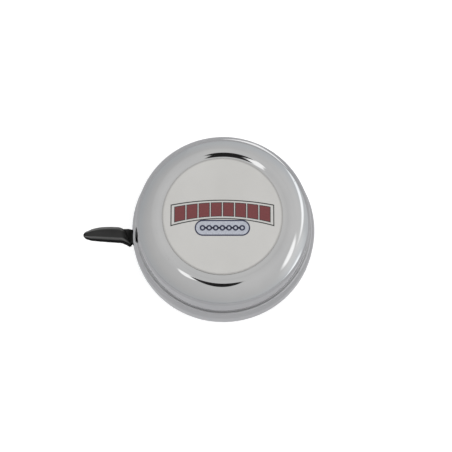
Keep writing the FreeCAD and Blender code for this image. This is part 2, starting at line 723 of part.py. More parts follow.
def dome_boss():
    """Threaded boss riveted into the dome's crown; it screws down on the post."""
    made = body("dome_boss")
    under = f"({RECESS_Z} - dome_wall)"
    revolve(made, [
        ("post_thread + snug", "post_seat_z"),
        ("boss_radius", "post_seat_z"),
        ("boss_radius", f"{under} - boss_flange_thick"),
        ("boss_flange", f"{under} - boss_flange_thick"),
        ("boss_flange", under),
        ("boss_hole", under),
        ("boss_hole", RECESS_Z),
        ("0", RECESS_Z),
        ("0", "post_top_z + boss_room"),
        ("post_thread + snug", "post_top_z + boss_room"),
    ], "boss")
    return made


def crown_badge():
    """Thin printed disc stuck in the dome's recess, slightly off centre."""
    made = body("crown_badge", x="-badge_shift", y="badge_shift")
    pad(made, circle(made, "XY_Plane", "badge_edge", "0", "0", "badge_radius", RECESS_Z), "badge_thick")
    return made


def groove(radius, low, high):
    """Corners of a clip groove, going up a shaft."""
    return [
        (radius, low), (f"{radius} - clip_bite", low), (f"{radius} - clip_bite", high), (radius, high),
    ]


def centre_post():
    """Post riveted through cup and saddle; the rotor turns on it and the dome screws on top."""
    made = body("centre_post")
    revolve(made, [
        ("0", f"{STRAP_IN} - post_rivet_high"),
        ("post_rivet - end_break", f"{STRAP_IN} - post_rivet_high"),
        ("post_rivet", f"{STRAP_IN} - post_rivet_high + end_break"),
        ("post_rivet", STRAP_IN),
        ("post_spigot", STRAP_IN),
        ("post_spigot", "floor_z + cup_wall"),
        ("post_base", "floor_z + cup_wall"),
        ("post_base", "post_base_z"),
        ("post_shank", "post_base_z"),
        *groove("post_shank", ROTOR_CLIP_Z, f"{ROTOR_CLIP_Z} + clip_thick"),
        ("post_shank", "post_seat_z"),
        ("post_thread", "post_seat_z"),
        ("post_thread", "post_top_z - end_break"),
        ("post_thread - end_break", "post_top_z"),
        ("0", "post_top_z"),
    ], "post")
    return made


# ---------------------------------------------------------------- pins and clips
def pivot_pin(label, x, y, base, seat, shaft, clip_z):
    """A shouldered pin riveted in the cup floor, with a clip groove near its top."""
    made = body(label, x, y)
    revolve(made, [
        ("0", "floor_z - pin_rivet_high"),
        ("pin_rivet - edge_break", "floor_z - pin_rivet_high"),
        ("pin_rivet", "floor_z - pin_rivet_high + edge_break"),
        ("pin_rivet", "floor_z"),
        ("pin_spigot", "floor_z"),
        ("pin_spigot", "floor_z + cup_wall"),
        (base, "floor_z + cup_wall"),
        (base, seat),
        (shaft, seat),
        *groove(shaft, clip_z, f"{clip_z} + clip_thick"),
        (shaft, f"{clip_z} + clip_thick + pin_end - edge_break"),
        (f"{shaft} - edge_break", f"{clip_z} + clip_thick + pin_end"),
        ("0", f"{clip_z} + clip_thick + pin_end"),
    ], label)
    return made


def retaining_clip(label, centre, shaft, low):
    """An E-clip: a flat ring with an open mouth, snapped into a shaft's groove."""
    high = f"{low} + clip_thick"
    ring = disc(f"{label}_ring", f"{shaft} + clip_wide", low, high, centre)
    hole = disc(f"{label}_hole", f"{shaft} - clip_bite + snug", low, high, centre)
    mouth = primitive("Part::Box", f"{label}_mouth", Length=f"{shaft} + clip_wide",
                      Width=f"2 * ({shaft} - clip_bite)", Height="clip_thick")
    corner = V(centre.x, centre.y - number(f"{shaft} - clip_bite"), number(low))
    mouth.Placement.Base = corner
    doc.recompute()
    return cut(label, ring, hole, mouth)


def spring_anchor_pin():
    """Small riveted pin that holds the spring's lower leg."""
    made = body("spring_anchor_pin", ANCHOR_X, ANCHOR_Y)
    revolve(made, [
        ("0", "floor_z - anchor_rivet"),
        ("anchor_radius + anchor_rivet", "floor_z - anchor_rivet"),
        ("anchor_radius + anchor_rivet", "floor_z"),
        ("anchor_spigot", "floor_z"),
        ("anchor_spigot", "floor_z + cup_wall"),
        ("anchor_radius", "floor_z + cup_wall"),
        ("anchor_radius", "anchor_top - edge_break"),
        ("anchor_radius - edge_break", "anchor_top"),
        ("0", "anchor_top"),
    ], "anchor")
    return made


# ---------------------------------------------------------------- return spring
def return_spring():
    """Torsion spring round the lever pin: a left-hand coil with a straight leg at each end."""
    radius, turns = size("coil_radius"), size("coil_turns")
    climb = size("coil_pitch") / (2 * pi * radius)
    leg = size("leg_length")
    length = turns * 2 * pi
    low, high = size("coil_z"), size("coil_z") + turns * size("coil_pitch")
    coil = Part.makeHelix(size("coil_pitch"), high - low, radius, 0, True)
    coil.translate(V(0, 0, low))
    start = V(radius, 0, low)
    end = V(radius * cos(length), -radius * sin(length), high)
    if (coil.Vertexes[-1].Point - end).Length > TINY:
        raise ValueError("the coil winds the wrong way")
    lower_leg = Part.makeLine(start + V(0, leg, -leg * climb), start)
    along = V(-sin(length), -cos(length), climb)
    upper_leg = Part.makeLine(end, end + along * leg)
    path = Part.Wire([lower_leg, *coil.Edges, upper_leg])
    tip = lower_leg.Vertexes[0].Point
    section = Part.Wire(Part.makeCircle(size("wire_radius"), tip, V(0, -1, climb)))
    made = doc.addObject("Part::Feature", "return_spring")
    made.Shape = path.makePipeShell([section], True, True)
    made.Placement.Base = V(size("pivot_x"), size("pivot_y"), 0)
    made.Label = "return_spring"
    return made


# ---------------------------------------------------------------- lever
def lever_arm():
    """Pressed steel lever: hub, toothed sector, spring tab and the blade inside the thumb grip."""
    pivot, idler = V(size("pivot_x"), size("pivot_y"), 0), idler_centre()
    line = bearing_of(pivot, idler)
    top = "arm_z + arm_thick"
    wheel = toothed_wheel("sector_wheel", "sector_teeth", "sector_module", pivot, line,
                          "arm_z", "arm_thick", -size("pinion_shift"))
    slice_ = primitive("Part::Cylinder", "sector_slice", ("pivot_x", "pivot_y", "arm_z"),
                       Radius="sector_teeth * sector_module", Height="arm_thick",
                       Angle="sector_end - sector_start")
    slice_.Placement.Rotation = ROT(Z_AXIS, size("sector_start"))
    sector = doc.addObject("Part::Common", "sector")
    sector.Base, sector.Tool = wheel, slice_
    hub = disc("arm_hub_disc", "arm_hub", "arm_z", top, pivot)
    blade = primitive("Part::Box", "arm_blade", Length="blade_reach", Width="2 * blade_half",
                      Height="arm_thick")
    turn = ROT(Z_AXIS, size("grip_bearing"))
    blade.Placement = FreeCAD.Placement(
        pivot + V(0, 0, size("arm_z")) + turn.multVec(V(0, -size("blade_half"), 0)), turn)
    tab_x = "pivot_x - coil_radius - wire_radius - snug - tab_thick"
    tab_y = "pivot_y + leg_grip - tab_wide / 2"
    tab = primitive("Part::Box", "arm_tab", (tab_x, tab_y, "arm_z - tab_drop"),
                    Length="tab_thick", Width="tab_wide", Height="tab_drop + arm_thick")
    ear = primitive("Part::Box", "arm_ear", (tab_x, "pivot_y", "arm_z"),
                    Length="tab_thick + coil_radius", Width="leg_grip + tab_wide / 2", Height="arm_thick")
    plate = fuse("arm_plate", sector, hub, blade, ear, tab)
    bore = disc("arm_bore", "lever_pin + run", "arm_z", top, pivot)
    return cut("lever_arm", plate, bore)


def thumb_grip():
    """Moulded plastic grip on the lever's blade: a fin-shaped pad and a neck through the slot."""
    made = body("grip_moulding")
    pad(made, outline(made, "XY_Plane", "grip_plan", [
        ("grip_root_x", "grip_root_y"),
        ("grip_heel_x", "grip_heel_y", "grip_far_bend"),
        ("grip_tip_x", "grip_tip_far", "grip_tip_bend"),
        ("grip_tip_x", "grip_tip_near", "grip_near_bend"),
        ("grip_knee_x", "grip_knee_y", "-grip_flare_bend"),
    ], "grip_z"), "grip_high")
    low, high = size("grip_z"), size("grip_z") + size("grip_high")

    def on_rim(edge):
        box = edge.BoundBox
        return box.ZLength < TINY and min(abs(box.ZMin - low), abs(box.ZMin - high)) < TINY

    round_edges(made, "grip_round", on_rim)
    turn = ROT(Z_AXIS, size("grip_bearing"))
    pivot = V(size("pivot_x"), size("pivot_y"), 0)

    def along_blade(name, start, reach, half, low_z, high_z):
        """A box along the blade, starting that far from the pivot."""
        box = primitive("Part::Box", name, Length=reach, Width=f"2 * {half}", Height=high_z)
        corner = turn.multVec(V(number(start), -number(half), number(low_z)))
        box.Placement = FreeCAD.Placement(pivot + corner, turn)
        return box

    neck = along_blade("grip_neck", "neck_start", "neck_end - neck_start", "neck_half", "neck_z", "neck_high")
    blade = along_blade("grip_cavity", "0", "blade_reach", "blade_half", "arm_z", "arm_thick")
    return cut("thumb_grip", fuse("grip_solid", made, neck), blade)


# ---------------------------------------------------------------- idler
def idler_gear():
    """Large idler wheel, pressed on the idler pinion's spigot."""
    idler = idler_centre()
    wheel = toothed_wheel("idler_wheel", "idler_gear_teeth", "train_module", idler,
                          bearing_of(idler, V()), "idler_gear_z", "idler_gear_thick")
    bore = disc("idler_wheel_bore", "idler_pin + run + idler_spigot_wall", "idler_gear_z",
                "idler_gear_z + idler_gear_thick", idler)
    return cut("idler_gear", wheel, bore)


def idler_pinion():
    """Small idler pinion driven by the lever's sector, with its spigot through the wheel."""
    pivot, idler = V(size("pivot_x"), size("pivot_y"), 0), idler_centre()
    half_tooth = 180.0 / size("idler_pinion_teeth")
    low = "idler_gear_z + idler_gear_thick"
    teeth = toothed_wheel("pinion_teeth", "idler_pinion_teeth", "sector_module", idler,
                          bearing_of(pivot, idler) + 180 + half_tooth, low,
                          f"idler_pinion_top - ({low})", size("pinion_shift"))
    spigot = disc("pinion_spigot", "idler_pin + run + idler_spigot_wall", "idler_gear_z", low, idler)
    bore = disc("pinion_bore", "idler_pin + run", "idler_gear_z", "idler_pinion_top", idler)
    return cut("idler_pinion", fuse("pinion_solid", teeth, spigot), bore)


# ---------------------------------------------------------------- rotor
def rotor_pinion():
    """Rotor pinion with its hub, staked over the striker arm."""
    idler, post = idler_centre(), V()
    half_tooth = 180.0 / size("rotor_pinion_teeth")
    teeth = toothed_wheel("rotor_teeth", "rotor_pinion_teeth", "train_module", post,
                          bearing_of(idler, post) + 180 + half_tooth, "rotor_z",
                          "rotor_pinion_top - rotor_z")
    hub = disc("rotor_hub", "hub_radius", "rotor_pinion_top", "hub_top")
    spigot = disc("rotor_spigot", "hub_spigot", "hub_top", ARM_TOP)
    stake = disc("rotor_stake", "hub_stake", ARM_TOP, f"{ARM_TOP} + hub_stake_high")
    bore = disc("rotor_bore", "post_shank + run", "rotor_z", f"{ARM_TOP} + hub_stake_high")
    return cut("rotor_pinion", fuse("rotor_solid", teeth, hub, spigot, stake), bore)


def rotor_thrust_washer():
    """Plain washer under the rotor."""
    top = "post_base_z + thrust_washer"
    ring = disc("thrust_ring", "thrust_radius", "post_base_z", top)
    hole = disc("thrust_hole", "post_shank + run", "post_base_z", top)
    return cut("rotor_thrust_washer", ring, hole)


def striker_arm():
    """Cranked steel strap that swings the strikers round inside the dome."""
    made = body("striker_arm")
    low, high = "hub_top", "hub_top + rotor_arm_rise"
    upper_low, upper_high = ARM_TOP, f"{ARM_TOP} + rotor_arm_rise"
    pad(made, outline(made, "XZ_Plane", "arm_side", [
        ("-rotor_arm_end", high), ("-rotor_arm_step", high), ("-rotor_arm_flat", low),
        ("rotor_arm_flat", low), ("rotor_arm_step", high), ("rotor_arm_end", high),
        ("rotor_arm_end", upper_high), ("rotor_arm_step", upper_high), ("rotor_arm_flat", upper_low),
        ("-rotor_arm_flat", upper_low), ("-rotor_arm_step", upper_high), ("-rotor_arm_end", upper_high),
    ]), "2 * rotor_arm_half", midplane=True)
    holes = [("0", "hub_spigot"), ("striker_place", "striker_pin"), ("-striker_place", "striker_pin")]
    for x, radius in holes:
        pocket(made, circle(made, "XY_Plane", "arm_hole", x, "0", radius, "hub_top"),
               "4 * rotor_arm_rise", midplane=True)
    end = size("rotor_arm_end")
    round_edges(made, "rotor_arm_corner",
                lambda e: abs(e.BoundBox.Center.x) > end - TINY and e.BoundBox.XLength < TINY
                and e.BoundBox.YLength < TINY)
    return made


def striker_pin(name, place):
    """Headed pin staked in the striker arm; its striker slides loosely on it."""
    made = body(name, x=place)
    arm_low = f"({STRIKER_LOW} - rotor_arm_thick)"
    revolve(made, [
        ("0", f"{arm_low} - striker_stake_high"),
        ("striker_stake - edge_break", f"{arm_low} - striker_stake_high"),
        ("striker_stake", f"{arm_low} - striker_stake_high + edge_break"),
        ("striker_stake", arm_low),
        ("striker_pin", arm_low),
        ("striker_pin", STRIKER_HEAD_Z),
        ("striker_head", STRIKER_HEAD_Z),
        ("striker_head", f"{STRIKER_HEAD_Z} + striker_head_high - edge_break"),
        ("striker_head - edge_break", f"{STRIKER_HEAD_Z} + striker_head_high"),
        ("0", f"{STRIKER_HEAD_Z} + striker_head_high"),
    ], "pin")
    return made


def striker_pins():
    """The two striker pins."""
    made = doc.addObject("Part::Compound", "striker_pins")
    places = {"striker_pin_a": "striker_place", "striker_pin_b": "-striker_place"}
    made.Links = [striker_pin(name, place) for name, place in places.items()]
    made.Label = "striker_pins"
    doc.recompute()
    return made


def striker(label, x):
    """Loose steel disc with a large hole, thrown outward against the dome as the rotor spins."""
    made = body(label, x=x)
    low = f"({STRIKER_LOW} + side_play)"
    high = f"({low} + striker_thick)"
    revolve(made, [
        ("striker_bore", low),
        ("striker_radius - striker_chamfer", low),
        ("striker_radius", f"{low} + striker_chamfer"),
        ("striker_radius", f"{high} - striker_chamfer"),
        ("striker_radius - striker_chamfer", high),
        ("striker_bore", high),
    ], "disc")
    return made


# ---------------------------------------------------------------- the whole bell
def build():
    """Makes every piece, keyed by node name."""
    pivot, idler, post = V(size("pivot_x"), size("pivot_y"), 0), idler_centre(), V()
    idler_x, idler_y = str(round(idler.x, 5)), str(round(idler.y, 5))
    pieces = [
        clamp_saddle(),
        clamp_strap(),
        clamp_liner(),
        clamp_screws(),
        clamp_lock_washers(),
        clamp_nuts(),
        base_cup(),
        bell_dome(),
        dome_boss(),
        crown_badge(),
        centre_post(),
        pivot_pin("lever_pivot_pin", "pivot_x", "pivot_y", "lever_pin_base", LEVER_SEAT,
                  "lever_pin", LEVER_CLIP_Z),
        pivot_pin("idler_pin", idler_x, idler_y, "idler_pin_base", "idler_pin_z",
                  "idler_pin", IDLER_CLIP_Z),
        retaining_clip("lever_clip", pivot, "lever_pin", LEVER_CLIP_Z),
        retaining_clip("idler_clip", idler, "idler_pin", IDLER_CLIP_Z),
        retaining_clip("rotor_clip", post, "post_shank", ROTOR_CLIP_Z),
        spring_anchor_pin(),
        return_spring(),
        lever_arm(),
        thumb_grip(),
        idler_gear(),
        idler_pinion(),
        rotor_thrust_washer(),
        rotor_pinion(),
        striker_arm(),
        striker_pins(),
        striker("striker_a", "striker_place"),
        striker("striker_b", "-striker_place"),
    ]
    return {piece.Label: piece for piece in pieces}


def write(pieces):
    """Checks every object and every piece, then writes one STEP file per piece."""
    doc.recompute()
    for thing in doc.Objects:
        if {"Invalid", "Error"} & set(thing.State):
            raise ValueError(f"{thing.Name} failed: {thing.State}")
    for label, piece in pieces.items():
        if piece.Shape.isNull() or not piece.Shape.isValid() or not piece.Shape.Solids:
            raise ValueError(f"{label} has no valid shape")
    os.makedirs("parts", exist_ok=True)
    for label, piece in pieces.items():
        piece.Shape.exportStep(f"parts/{label}.step")
        box = piece.Shape.BoundBox
        print(f"{label:22s} {len(piece.Shape.Solids)} solids  {piece.Shape.Volume:9.2f} mm3  "
              f"z {box.ZMin:6.2f}..{box.ZMax:6.2f}  x {box.XMin:6.2f}..{box.XMax:6.2f}")


fill_sheet()
write(build())
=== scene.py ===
"""Rotary thumb-lever bicycle bell: chrome dome and cup, printed badge, moulded grip, steel clamp."""
from math import ceil, cos, pi, radians, sin, sqrt, tan

import bmesh
import bpy
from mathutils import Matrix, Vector


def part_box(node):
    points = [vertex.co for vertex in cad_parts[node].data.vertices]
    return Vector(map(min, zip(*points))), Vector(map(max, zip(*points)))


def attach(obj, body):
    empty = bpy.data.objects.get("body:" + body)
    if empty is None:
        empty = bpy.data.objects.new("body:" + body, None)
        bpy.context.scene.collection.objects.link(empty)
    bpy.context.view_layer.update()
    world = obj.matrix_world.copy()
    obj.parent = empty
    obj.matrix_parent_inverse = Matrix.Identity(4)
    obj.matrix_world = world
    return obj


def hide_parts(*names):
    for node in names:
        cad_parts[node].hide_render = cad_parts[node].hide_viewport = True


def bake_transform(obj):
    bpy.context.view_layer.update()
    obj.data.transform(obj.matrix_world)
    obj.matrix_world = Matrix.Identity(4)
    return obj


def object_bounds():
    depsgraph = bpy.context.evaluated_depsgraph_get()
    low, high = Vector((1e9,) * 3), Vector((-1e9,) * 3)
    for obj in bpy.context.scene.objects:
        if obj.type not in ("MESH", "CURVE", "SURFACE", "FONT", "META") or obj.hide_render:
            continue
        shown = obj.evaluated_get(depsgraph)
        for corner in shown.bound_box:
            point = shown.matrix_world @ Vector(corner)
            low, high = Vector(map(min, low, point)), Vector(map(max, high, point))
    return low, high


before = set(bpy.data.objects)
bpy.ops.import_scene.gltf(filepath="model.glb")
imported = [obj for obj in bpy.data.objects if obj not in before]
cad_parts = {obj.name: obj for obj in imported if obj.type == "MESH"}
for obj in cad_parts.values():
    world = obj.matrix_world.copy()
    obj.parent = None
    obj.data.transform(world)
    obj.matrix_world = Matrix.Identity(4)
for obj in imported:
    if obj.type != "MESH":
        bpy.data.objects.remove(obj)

MM = 0.001
CAD_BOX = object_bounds()
FLOOR_Z = CAD_BOX[0][2]
SEGMENTS = 256


def box_mm(node):
    """Lowest and highest corner of a CAD node, in millimetres."""
    low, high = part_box(node)
    return Vector(low) / MM, Vector(high) / MM


# ---------------------------------------------------------------- mesh helpers
def mesh_object(name, points, faces, sharp=40):
    """A smooth-shaded object from points in millimetres, with edges sharp above that many degrees."""
    mesh = bpy.data.meshes.new(name)
    mesh.from_pydata([Vector(p) * MM for p in points], [], faces)
    made = bpy.data.objects.new(name, mesh)
    bpy.context.scene.collection.objects.link(made)
    tidy_mesh(mesh, sharp)
    return made


def tidy_mesh(mesh, sharp):
    """Outward normals, and smooth shading with edges sharp above that many degrees."""
    work = bmesh.new()
    work.from_mesh(mesh)
    bmesh.ops.recalc_face_normals(work, faces=work.faces)
    work.to_mesh(mesh)
    work.free()
    mesh.polygons.foreach_set("use_smooth", [True] * len(mesh.polygons))
    mesh.set_sharp_from_angle(angle=radians(sharp))
    mesh.update()


def break_edges(thing, width, angle):
    """Bevels the edges that bend more than that many degrees, width in millimetres."""
    bevel = thing.modifiers.new("edge_break", "BEVEL")
    bevel.width = width * MM
    bevel.segments = 2
    bevel.limit_method = "ANGLE"
    bevel.angle_limit = radians(angle)
    bevel.harden_normals = True
    graph = bpy.context.evaluated_depsgraph_get()
    thing.data = bpy.data.meshes.new_from_object(thing.evaluated_get(graph))
    thing.modifiers.clear()


def arc(centre, radius, start, end, step):
    """Points on an arc in the profile plane, angles in degrees, both ends included."""
    count = max(2, ceil(abs(end - start) / step))
    turns = [radians(start + (end - start) * i / count) for i in range(count + 1)]
    return [(centre[0] + radius * cos(t), centre[1] + radius * sin(t)) for t in turns]


def rounded_edge(outer_r, inner_r, flat, depth, upward):
    """Half an ellipse that closes a sheet's edge, from its outer face to its inner one."""
    middle = (outer_r + inner_r) / 2
    half = (outer_r - inner_r) / 2
    side = 1 if upward else -1
    turns = [radians(15 * i) for i in range(13)]
    return [(middle + half * cos(t), flat + side * depth * (sin(t) - 1)) for t in turns]


def lathe(name, profile):
    """Turns a closed profile of (radius, height) points about Z."""
    rows = len(profile)
    points = []
    for i in range(SEGMENTS):
        turn = 2 * pi * i / SEGMENTS
        points += [(r * cos(turn), r * sin(turn), z) for r, z in profile]
    faces = []
    for i in range(SEGMENTS):
        here = i * rows
        there = (i + 1) % SEGMENTS * rows
        for j in range(rows):
            k = (j + 1) % rows
            faces.append((here + j, there + j, there + k, here + k))
    return mesh_object(name, points, faces)


def loft(points, faces, rows):
    """Adds a skin over a stack of equal loops, capped at both ends."""
    first = len(points)
    sides = len(rows[0])
    last = len(rows) - 1
    for row in rows:
        points += row
    for i in range(last):
        here = first + i * sides
        there = here + sides
        for j in range(sides):
            k = (j + 1) % sides
            faces.append((here + j, here + k, there + k, there + j))
    for i in (0, last):
        faces.append(tuple(first + i * sides + j for j in range(sides)))


def tube(name, path, radius):
    """A round wire along a path of points in millimetres."""
    sides = 16
    turns = [2 * pi * j / sides for j in range(sides)]
    last = len(path) - 1
    rows = []
    for i, point in enumerate(path):
        ahead = (Vector(path[min(i + 1, last)]) - Vector(path[max(i - 1, 0)])).normalized()
        side = ahead.cross(Vector((0, 0, 1))).normalized()
        up = side.cross(ahead)
        rows.append([Vector(point) + (side * cos(t) + up * sin(t)) * radius for t in turns])
    points = []
    faces = []
    loft(points, faces, rows)
    return mesh_object(name, points, faces)


def curve_through(knots, x):
    """Height at x of a smooth curve through (x, y) knots, given in rising x."""
    last = len(knots) - 1

    def slope(i):
        (x0, y0), (x1, y1) = knots[max(i - 1, 0)], knots[min(i + 1, last)]
        return (y1 - y0) / (x1 - x0)

    i = max(k for k in range(last) if k == 0 or knots[k][0] <= x)
    (x0, y0), (x1, y1) = knots[i], knots[i + 1]
    wide = x1 - x0
    t = (x - x0) / wide
    ends = y0 * (1 + 2 * t) * (1 - t) ** 2 + y1 * t * t * (3 - 2 * t)
    return ends + wide * t * (1 - t) * (slope(i) * (1 - t) - slope(i + 1) * t)


# ---------------------------------------------------------------- shader nodes
class NodeTree:
    """Adds nodes to a shader tree. A value can be a number or another node's output."""

    def __init__(self, tree):
        self.nodes = tree.nodes
        self.links = tree.links

    def set(self, node, values):
        """Gives each named socket a value or a link."""
        for socket, value in values.items():
            if hasattr(value, "is_output"):
                self.links.new(value, node.inputs[socket])
            else:
                node.inputs[socket].default_value = value

    def node(self, kind, values=None, **settings):
        made = self.nodes.new(kind)
        for name, value in settings.items():
            setattr(made, name, value)
        self.set(made, values or {})
        return made

    def math(self, operation, first, second=0.0):
        made = self.node("ShaderNodeMath", {0: first, 1: second}, operation=operation)
        return made.outputs[0]


class Paint(NodeTree):
    """A node material built step by step round one Principled shader."""

    def __init__(self, name, metallic=0.0):
        self.material = bpy.data.materials.new(name)
        self.material.use_nodes = True
        super().__init__(self.material.node_tree)
        self.shader = self.nodes["Principled BSDF"]
        self.set(self.shader, {"Metallic": metallic})
        self.place = self.node("ShaderNodeTexCoord").outputs["Object"]

    def stretched(self, x, y, z):
        """Object coordinates multiplied per axis."""
        made = self.node("ShaderNodeVectorMath", {0: self.place, 1: (x, y, z)}, operation="MULTIPLY")
        return made.outputs[0]

    def noise(self, scale, detail=3.0, rough=0.5, vector=None):
        """Noise of that many cycles per metre, 0 to 1."""
        values = {"Vector": vector or self.place, "Scale": scale, "Detail": detail, "Roughness": rough}
        return self.node("ShaderNodeTexNoise", values).outputs["Fac"]

    def spots(self, scale, size):
        """Round specks in a fifth of the noise cells: 1 inside a speck, 0 elsewhere."""
        cells = self.node("ShaderNodeTexVoronoi", {"Vector": self.place, "Scale": scale})
        near = self.math("LESS_THAN", cells.outputs["Distance"], size)
        tone = self.node("ShaderNodeSeparateColor", {0: cells.outputs["Color"]})
        kept = self.math("GREATER_THAN", tone.outputs[0], 0.8)
        return self.math("MULTIPLY", near, kept)

    def turned_lines(self, pitch):
        """Circular lines about the Z axis, that many millimetres apart, as noise over radius and height."""
        parts = self.node("ShaderNodeSeparateXYZ", {0: self.place})
        height = self.math("DIVIDE", parts.outputs[2], MM)
        lines = self.node("ShaderNodeCombineXYZ", {0: self.far_from(0, 0), 1: height})
        return self.noise(1 / pitch, 2.0, 0.6, lines.outputs[0])

    def span(self, value, low, high, start=0.0, end=1.0):
        """value from start..end stretched to low..high."""
        values = {"Value": value, "From Min": start, "From Max": end, "To Min": low, "To Max": high}
        return self.node("ShaderNodeMapRange", values).outputs[0]

    def mix(self, factor, first, second):
        """A colour between two."""
        made = self.node("ShaderNodeMix", data_type="RGBA")
        self.links.new(factor, made.inputs["Factor"])
        for socket, colour in ((6, first), (7, second)):
            if hasattr(colour, "is_output"):
                self.links.new(colour, made.inputs[socket])
            else:
                made.inputs[socket].default_value = (*colour, 1)
        return made.outputs[2]

    def round_edges(self, radius):
        """Shades sharp edges as if rounded to that radius in millimetres."""
        made = self.node("ShaderNodeBevel", {"Radius": radius * MM}, samples=8)
        self.links.new(made.outputs[0], self.shader.inputs["Normal"])

    def outward_edges(self, low, high):
        """1 on outward edges and 0 on flat faces, from how much the surface bends."""
        bend = self.node("ShaderNodeNewGeometry").outputs["Pointiness"]
        return self.span(bend, 0, 1, low, high)

    def facing_up(self):
        """1 on faces that look up, 0 on upright ones."""
        normal = self.node("ShaderNodeNewGeometry").outputs["Normal"]
        parts = self.node("ShaderNodeSeparateXYZ", {0: normal})
        return self.span(parts.outputs[2], 0, 1, 0.25, 0.9)

    def far_from(self, x, y):
        """Distance from an upright line at (x, y), in millimetres."""
        parts = self.node("ShaderNodeSeparateXYZ", {0: self.place})
        across = self.math("SUBTRACT", parts.outputs[0], x * MM)
        over = self.math("SUBTRACT", parts.outputs[1], y * MM)
        across_square = self.math("MULTIPLY", across, across)
        over_square = self.math("MULTIPLY", over, over)
        distance = self.math("SQRT", self.math("ADD", across_square, over_square))
        return self.math("DIVIDE", distance, MM)

    def bump(self, height, depth, strength=1.0):
        """Adds relief of that depth in millimetres, on top of any relief so far."""
        below = self.shader.inputs["Normal"].links
        values = {"Height": height, "Distance": depth * MM, "Strength": strength}
        made = self.node("ShaderNodeBump", values)
        if below:
            self.links.new(below[0].from_socket, made.inputs["Normal"])
        self.links.new(made.outputs[0], self.shader.inputs["Normal"])

    def finish(self, **values):
        """Sets the shader's own sockets, written with _ for a space, and returns the material."""
        self.set(self.shader, {name.replace("_", " "): value for name, value in values.items()})
        return self.material


# ---------------------------------------------------------------- materials
CHROME_DARK = (0.482, 0.484, 0.486)
CHROME_BRIGHT = (0.522, 0.521, 0.518)
DUST = (0.36, 0.35, 0.34)


def chrome(name, wave_depth, roughness):
    """Bright nickel-chrome plate: spinning waves, polishing lines, slight bloom and specks of dust."""
    paint = Paint(name, metallic=1.0)
    bloom = paint.noise(70, 3.0)
    dust = paint.spots(300, 0.045)
    tone = paint.mix(paint.span(bloom, 0, 1, 0.3, 0.7), CHROME_DARK, CHROME_BRIGHT)
    haze = paint.span(paint.noise(350, 4.0, 0.65), roughness, roughness * 1.8, 0.35, 0.75)
    spinning_waves = paint.turned_lines(1.1)
    polishing_lines = paint.turned_lines(0.16)
    paint.bump(spinning_waves, wave_depth)
    paint.bump(polishing_lines, 0.0006)
    paint.bump(paint.noise(180, 2.0), 0.006, 0.5)
    dust_haze = paint.math("MULTIPLY", dust, 0.3)
    return paint.finish(Base_Color=paint.mix(dust, tone, DUST),
                        Roughness=paint.math("ADD", haze, dust_haze))


FILM_DARK = (0.475, 0.467, 0.450)
FILM_BRIGHT = (0.525, 0.516, 0.500)
FILM_FLAKE = (0.6, 0.6, 0.58)
# grey of the painted shade along the badge film's edge
EDGE_SHADE_GREY = (0.30, 0.295, 0.285)


def badge_film(centre, radius):
    """Silver-grey printed film under clear lacquer, with painted shade darkening it along its edge."""
    paint = Paint("badge_film", metallic=0.1)
    flake = paint.noise(9000, 1.0)
    cloud = paint.span(paint.noise(55, 2.0), 0, 1, 0.3, 0.7)
    tone = paint.mix(cloud, FILM_DARK, FILM_BRIGHT)
    # painted shade: the film darkens over its last 0.7 mm towards the edge
    edge_shade = paint.span(paint.far_from(centre.x, centre.y), 0, 1, radius - 0.7, radius - 0.1)
    sparkle = paint.mix(paint.span(flake, 0, 0.2), tone, FILM_FLAKE)
    paint.bump(flake, 0.002, 0.25)
    paint.bump(paint.noise(160, 2.0), 0.02, 0.15)
    return paint.finish(Base_Color=paint.mix(edge_shade, sparkle, EDGE_SHADE_GREY),
                        Roughness=0.45, Coat_Weight=0.35, Coat_Roughness=0.25)


def print_ink(name, colour):
    """Screen-printed ink with a slightly uneven film."""
    paint = Paint(name)
    shade = tuple(part * 0.82 for part in colour)
    thickness = paint.span(paint.noise(2500, 3.0), 0, 1, 0.35, 0.65)
    tone = paint.mix(thickness, shade, colour)
    paint.bump(paint.noise(4000, 2.0), 0.003, 0.4)
    return paint.finish(Base_Color=tone, Roughness=0.4, Coat_Weight=0.3, Coat_Roughness=0.15)


PLASTIC = (0.002, 0.002, 0.002)
# tone of the top face, lighter as painted light falling from above
PLASTIC_TOP_LIT = (0.014, 0.014, 0.0135)
# light grey of the painted highlights along the top's rims
PLASTIC_RIM_HIGHLIGHT = (0.13, 0.13, 0.128)
THUMB_LOW = 24.4
THUMB_HIGH = 25.2


def grip_plastic():
    """Black moulded plastic: matte spark-eroded sides, a top polished by the thumb and lightened with
    painted light, with painted highlights along the top's rims.
    """
    paint = Paint("grip_plastic")
    grain = paint.noise(2600, 4.0, 0.6)
    height = paint.node("ShaderNodeSeparateXYZ", {0: paint.place}).outputs[2]
    near_top = paint.span(height, 0.25, 1, THUMB_LOW * MM, THUMB_HIGH * MM)
    # top-face mask: thumb polish in roughness and specular, and painted light that greys the top in the
    # colour
    top_face = paint.math("MULTIPLY", paint.facing_up(), near_top)
    polish_and_top_light = paint.math("MULTIPLY", top_face, paint.span(paint.noise(160, 3.0), 0.75, 1.0, 0.3, 0.7))
    # painted highlight: light grey on the top's rims, found by how sharply the surface bends
    rim_highlight = paint.math("MULTIPLY", polish_and_top_light, paint.outward_edges(0.505, 0.545))
    # painted light: up-facing top faces take the lighter tone
    tone = paint.mix(polish_and_top_light, PLASTIC, PLASTIC_TOP_LIT)
    paint.bump(grain, 0.012, 0.5)
    return paint.finish(Base_Color=paint.mix(rim_highlight, tone, PLASTIC_RIM_HIGHLIGHT),
                        Roughness=paint.span(polish_and_top_light, 0.7, 0.38),
                        Specular_IOR_Level=paint.span(polish_and_top_light, 0.03, 0.42))


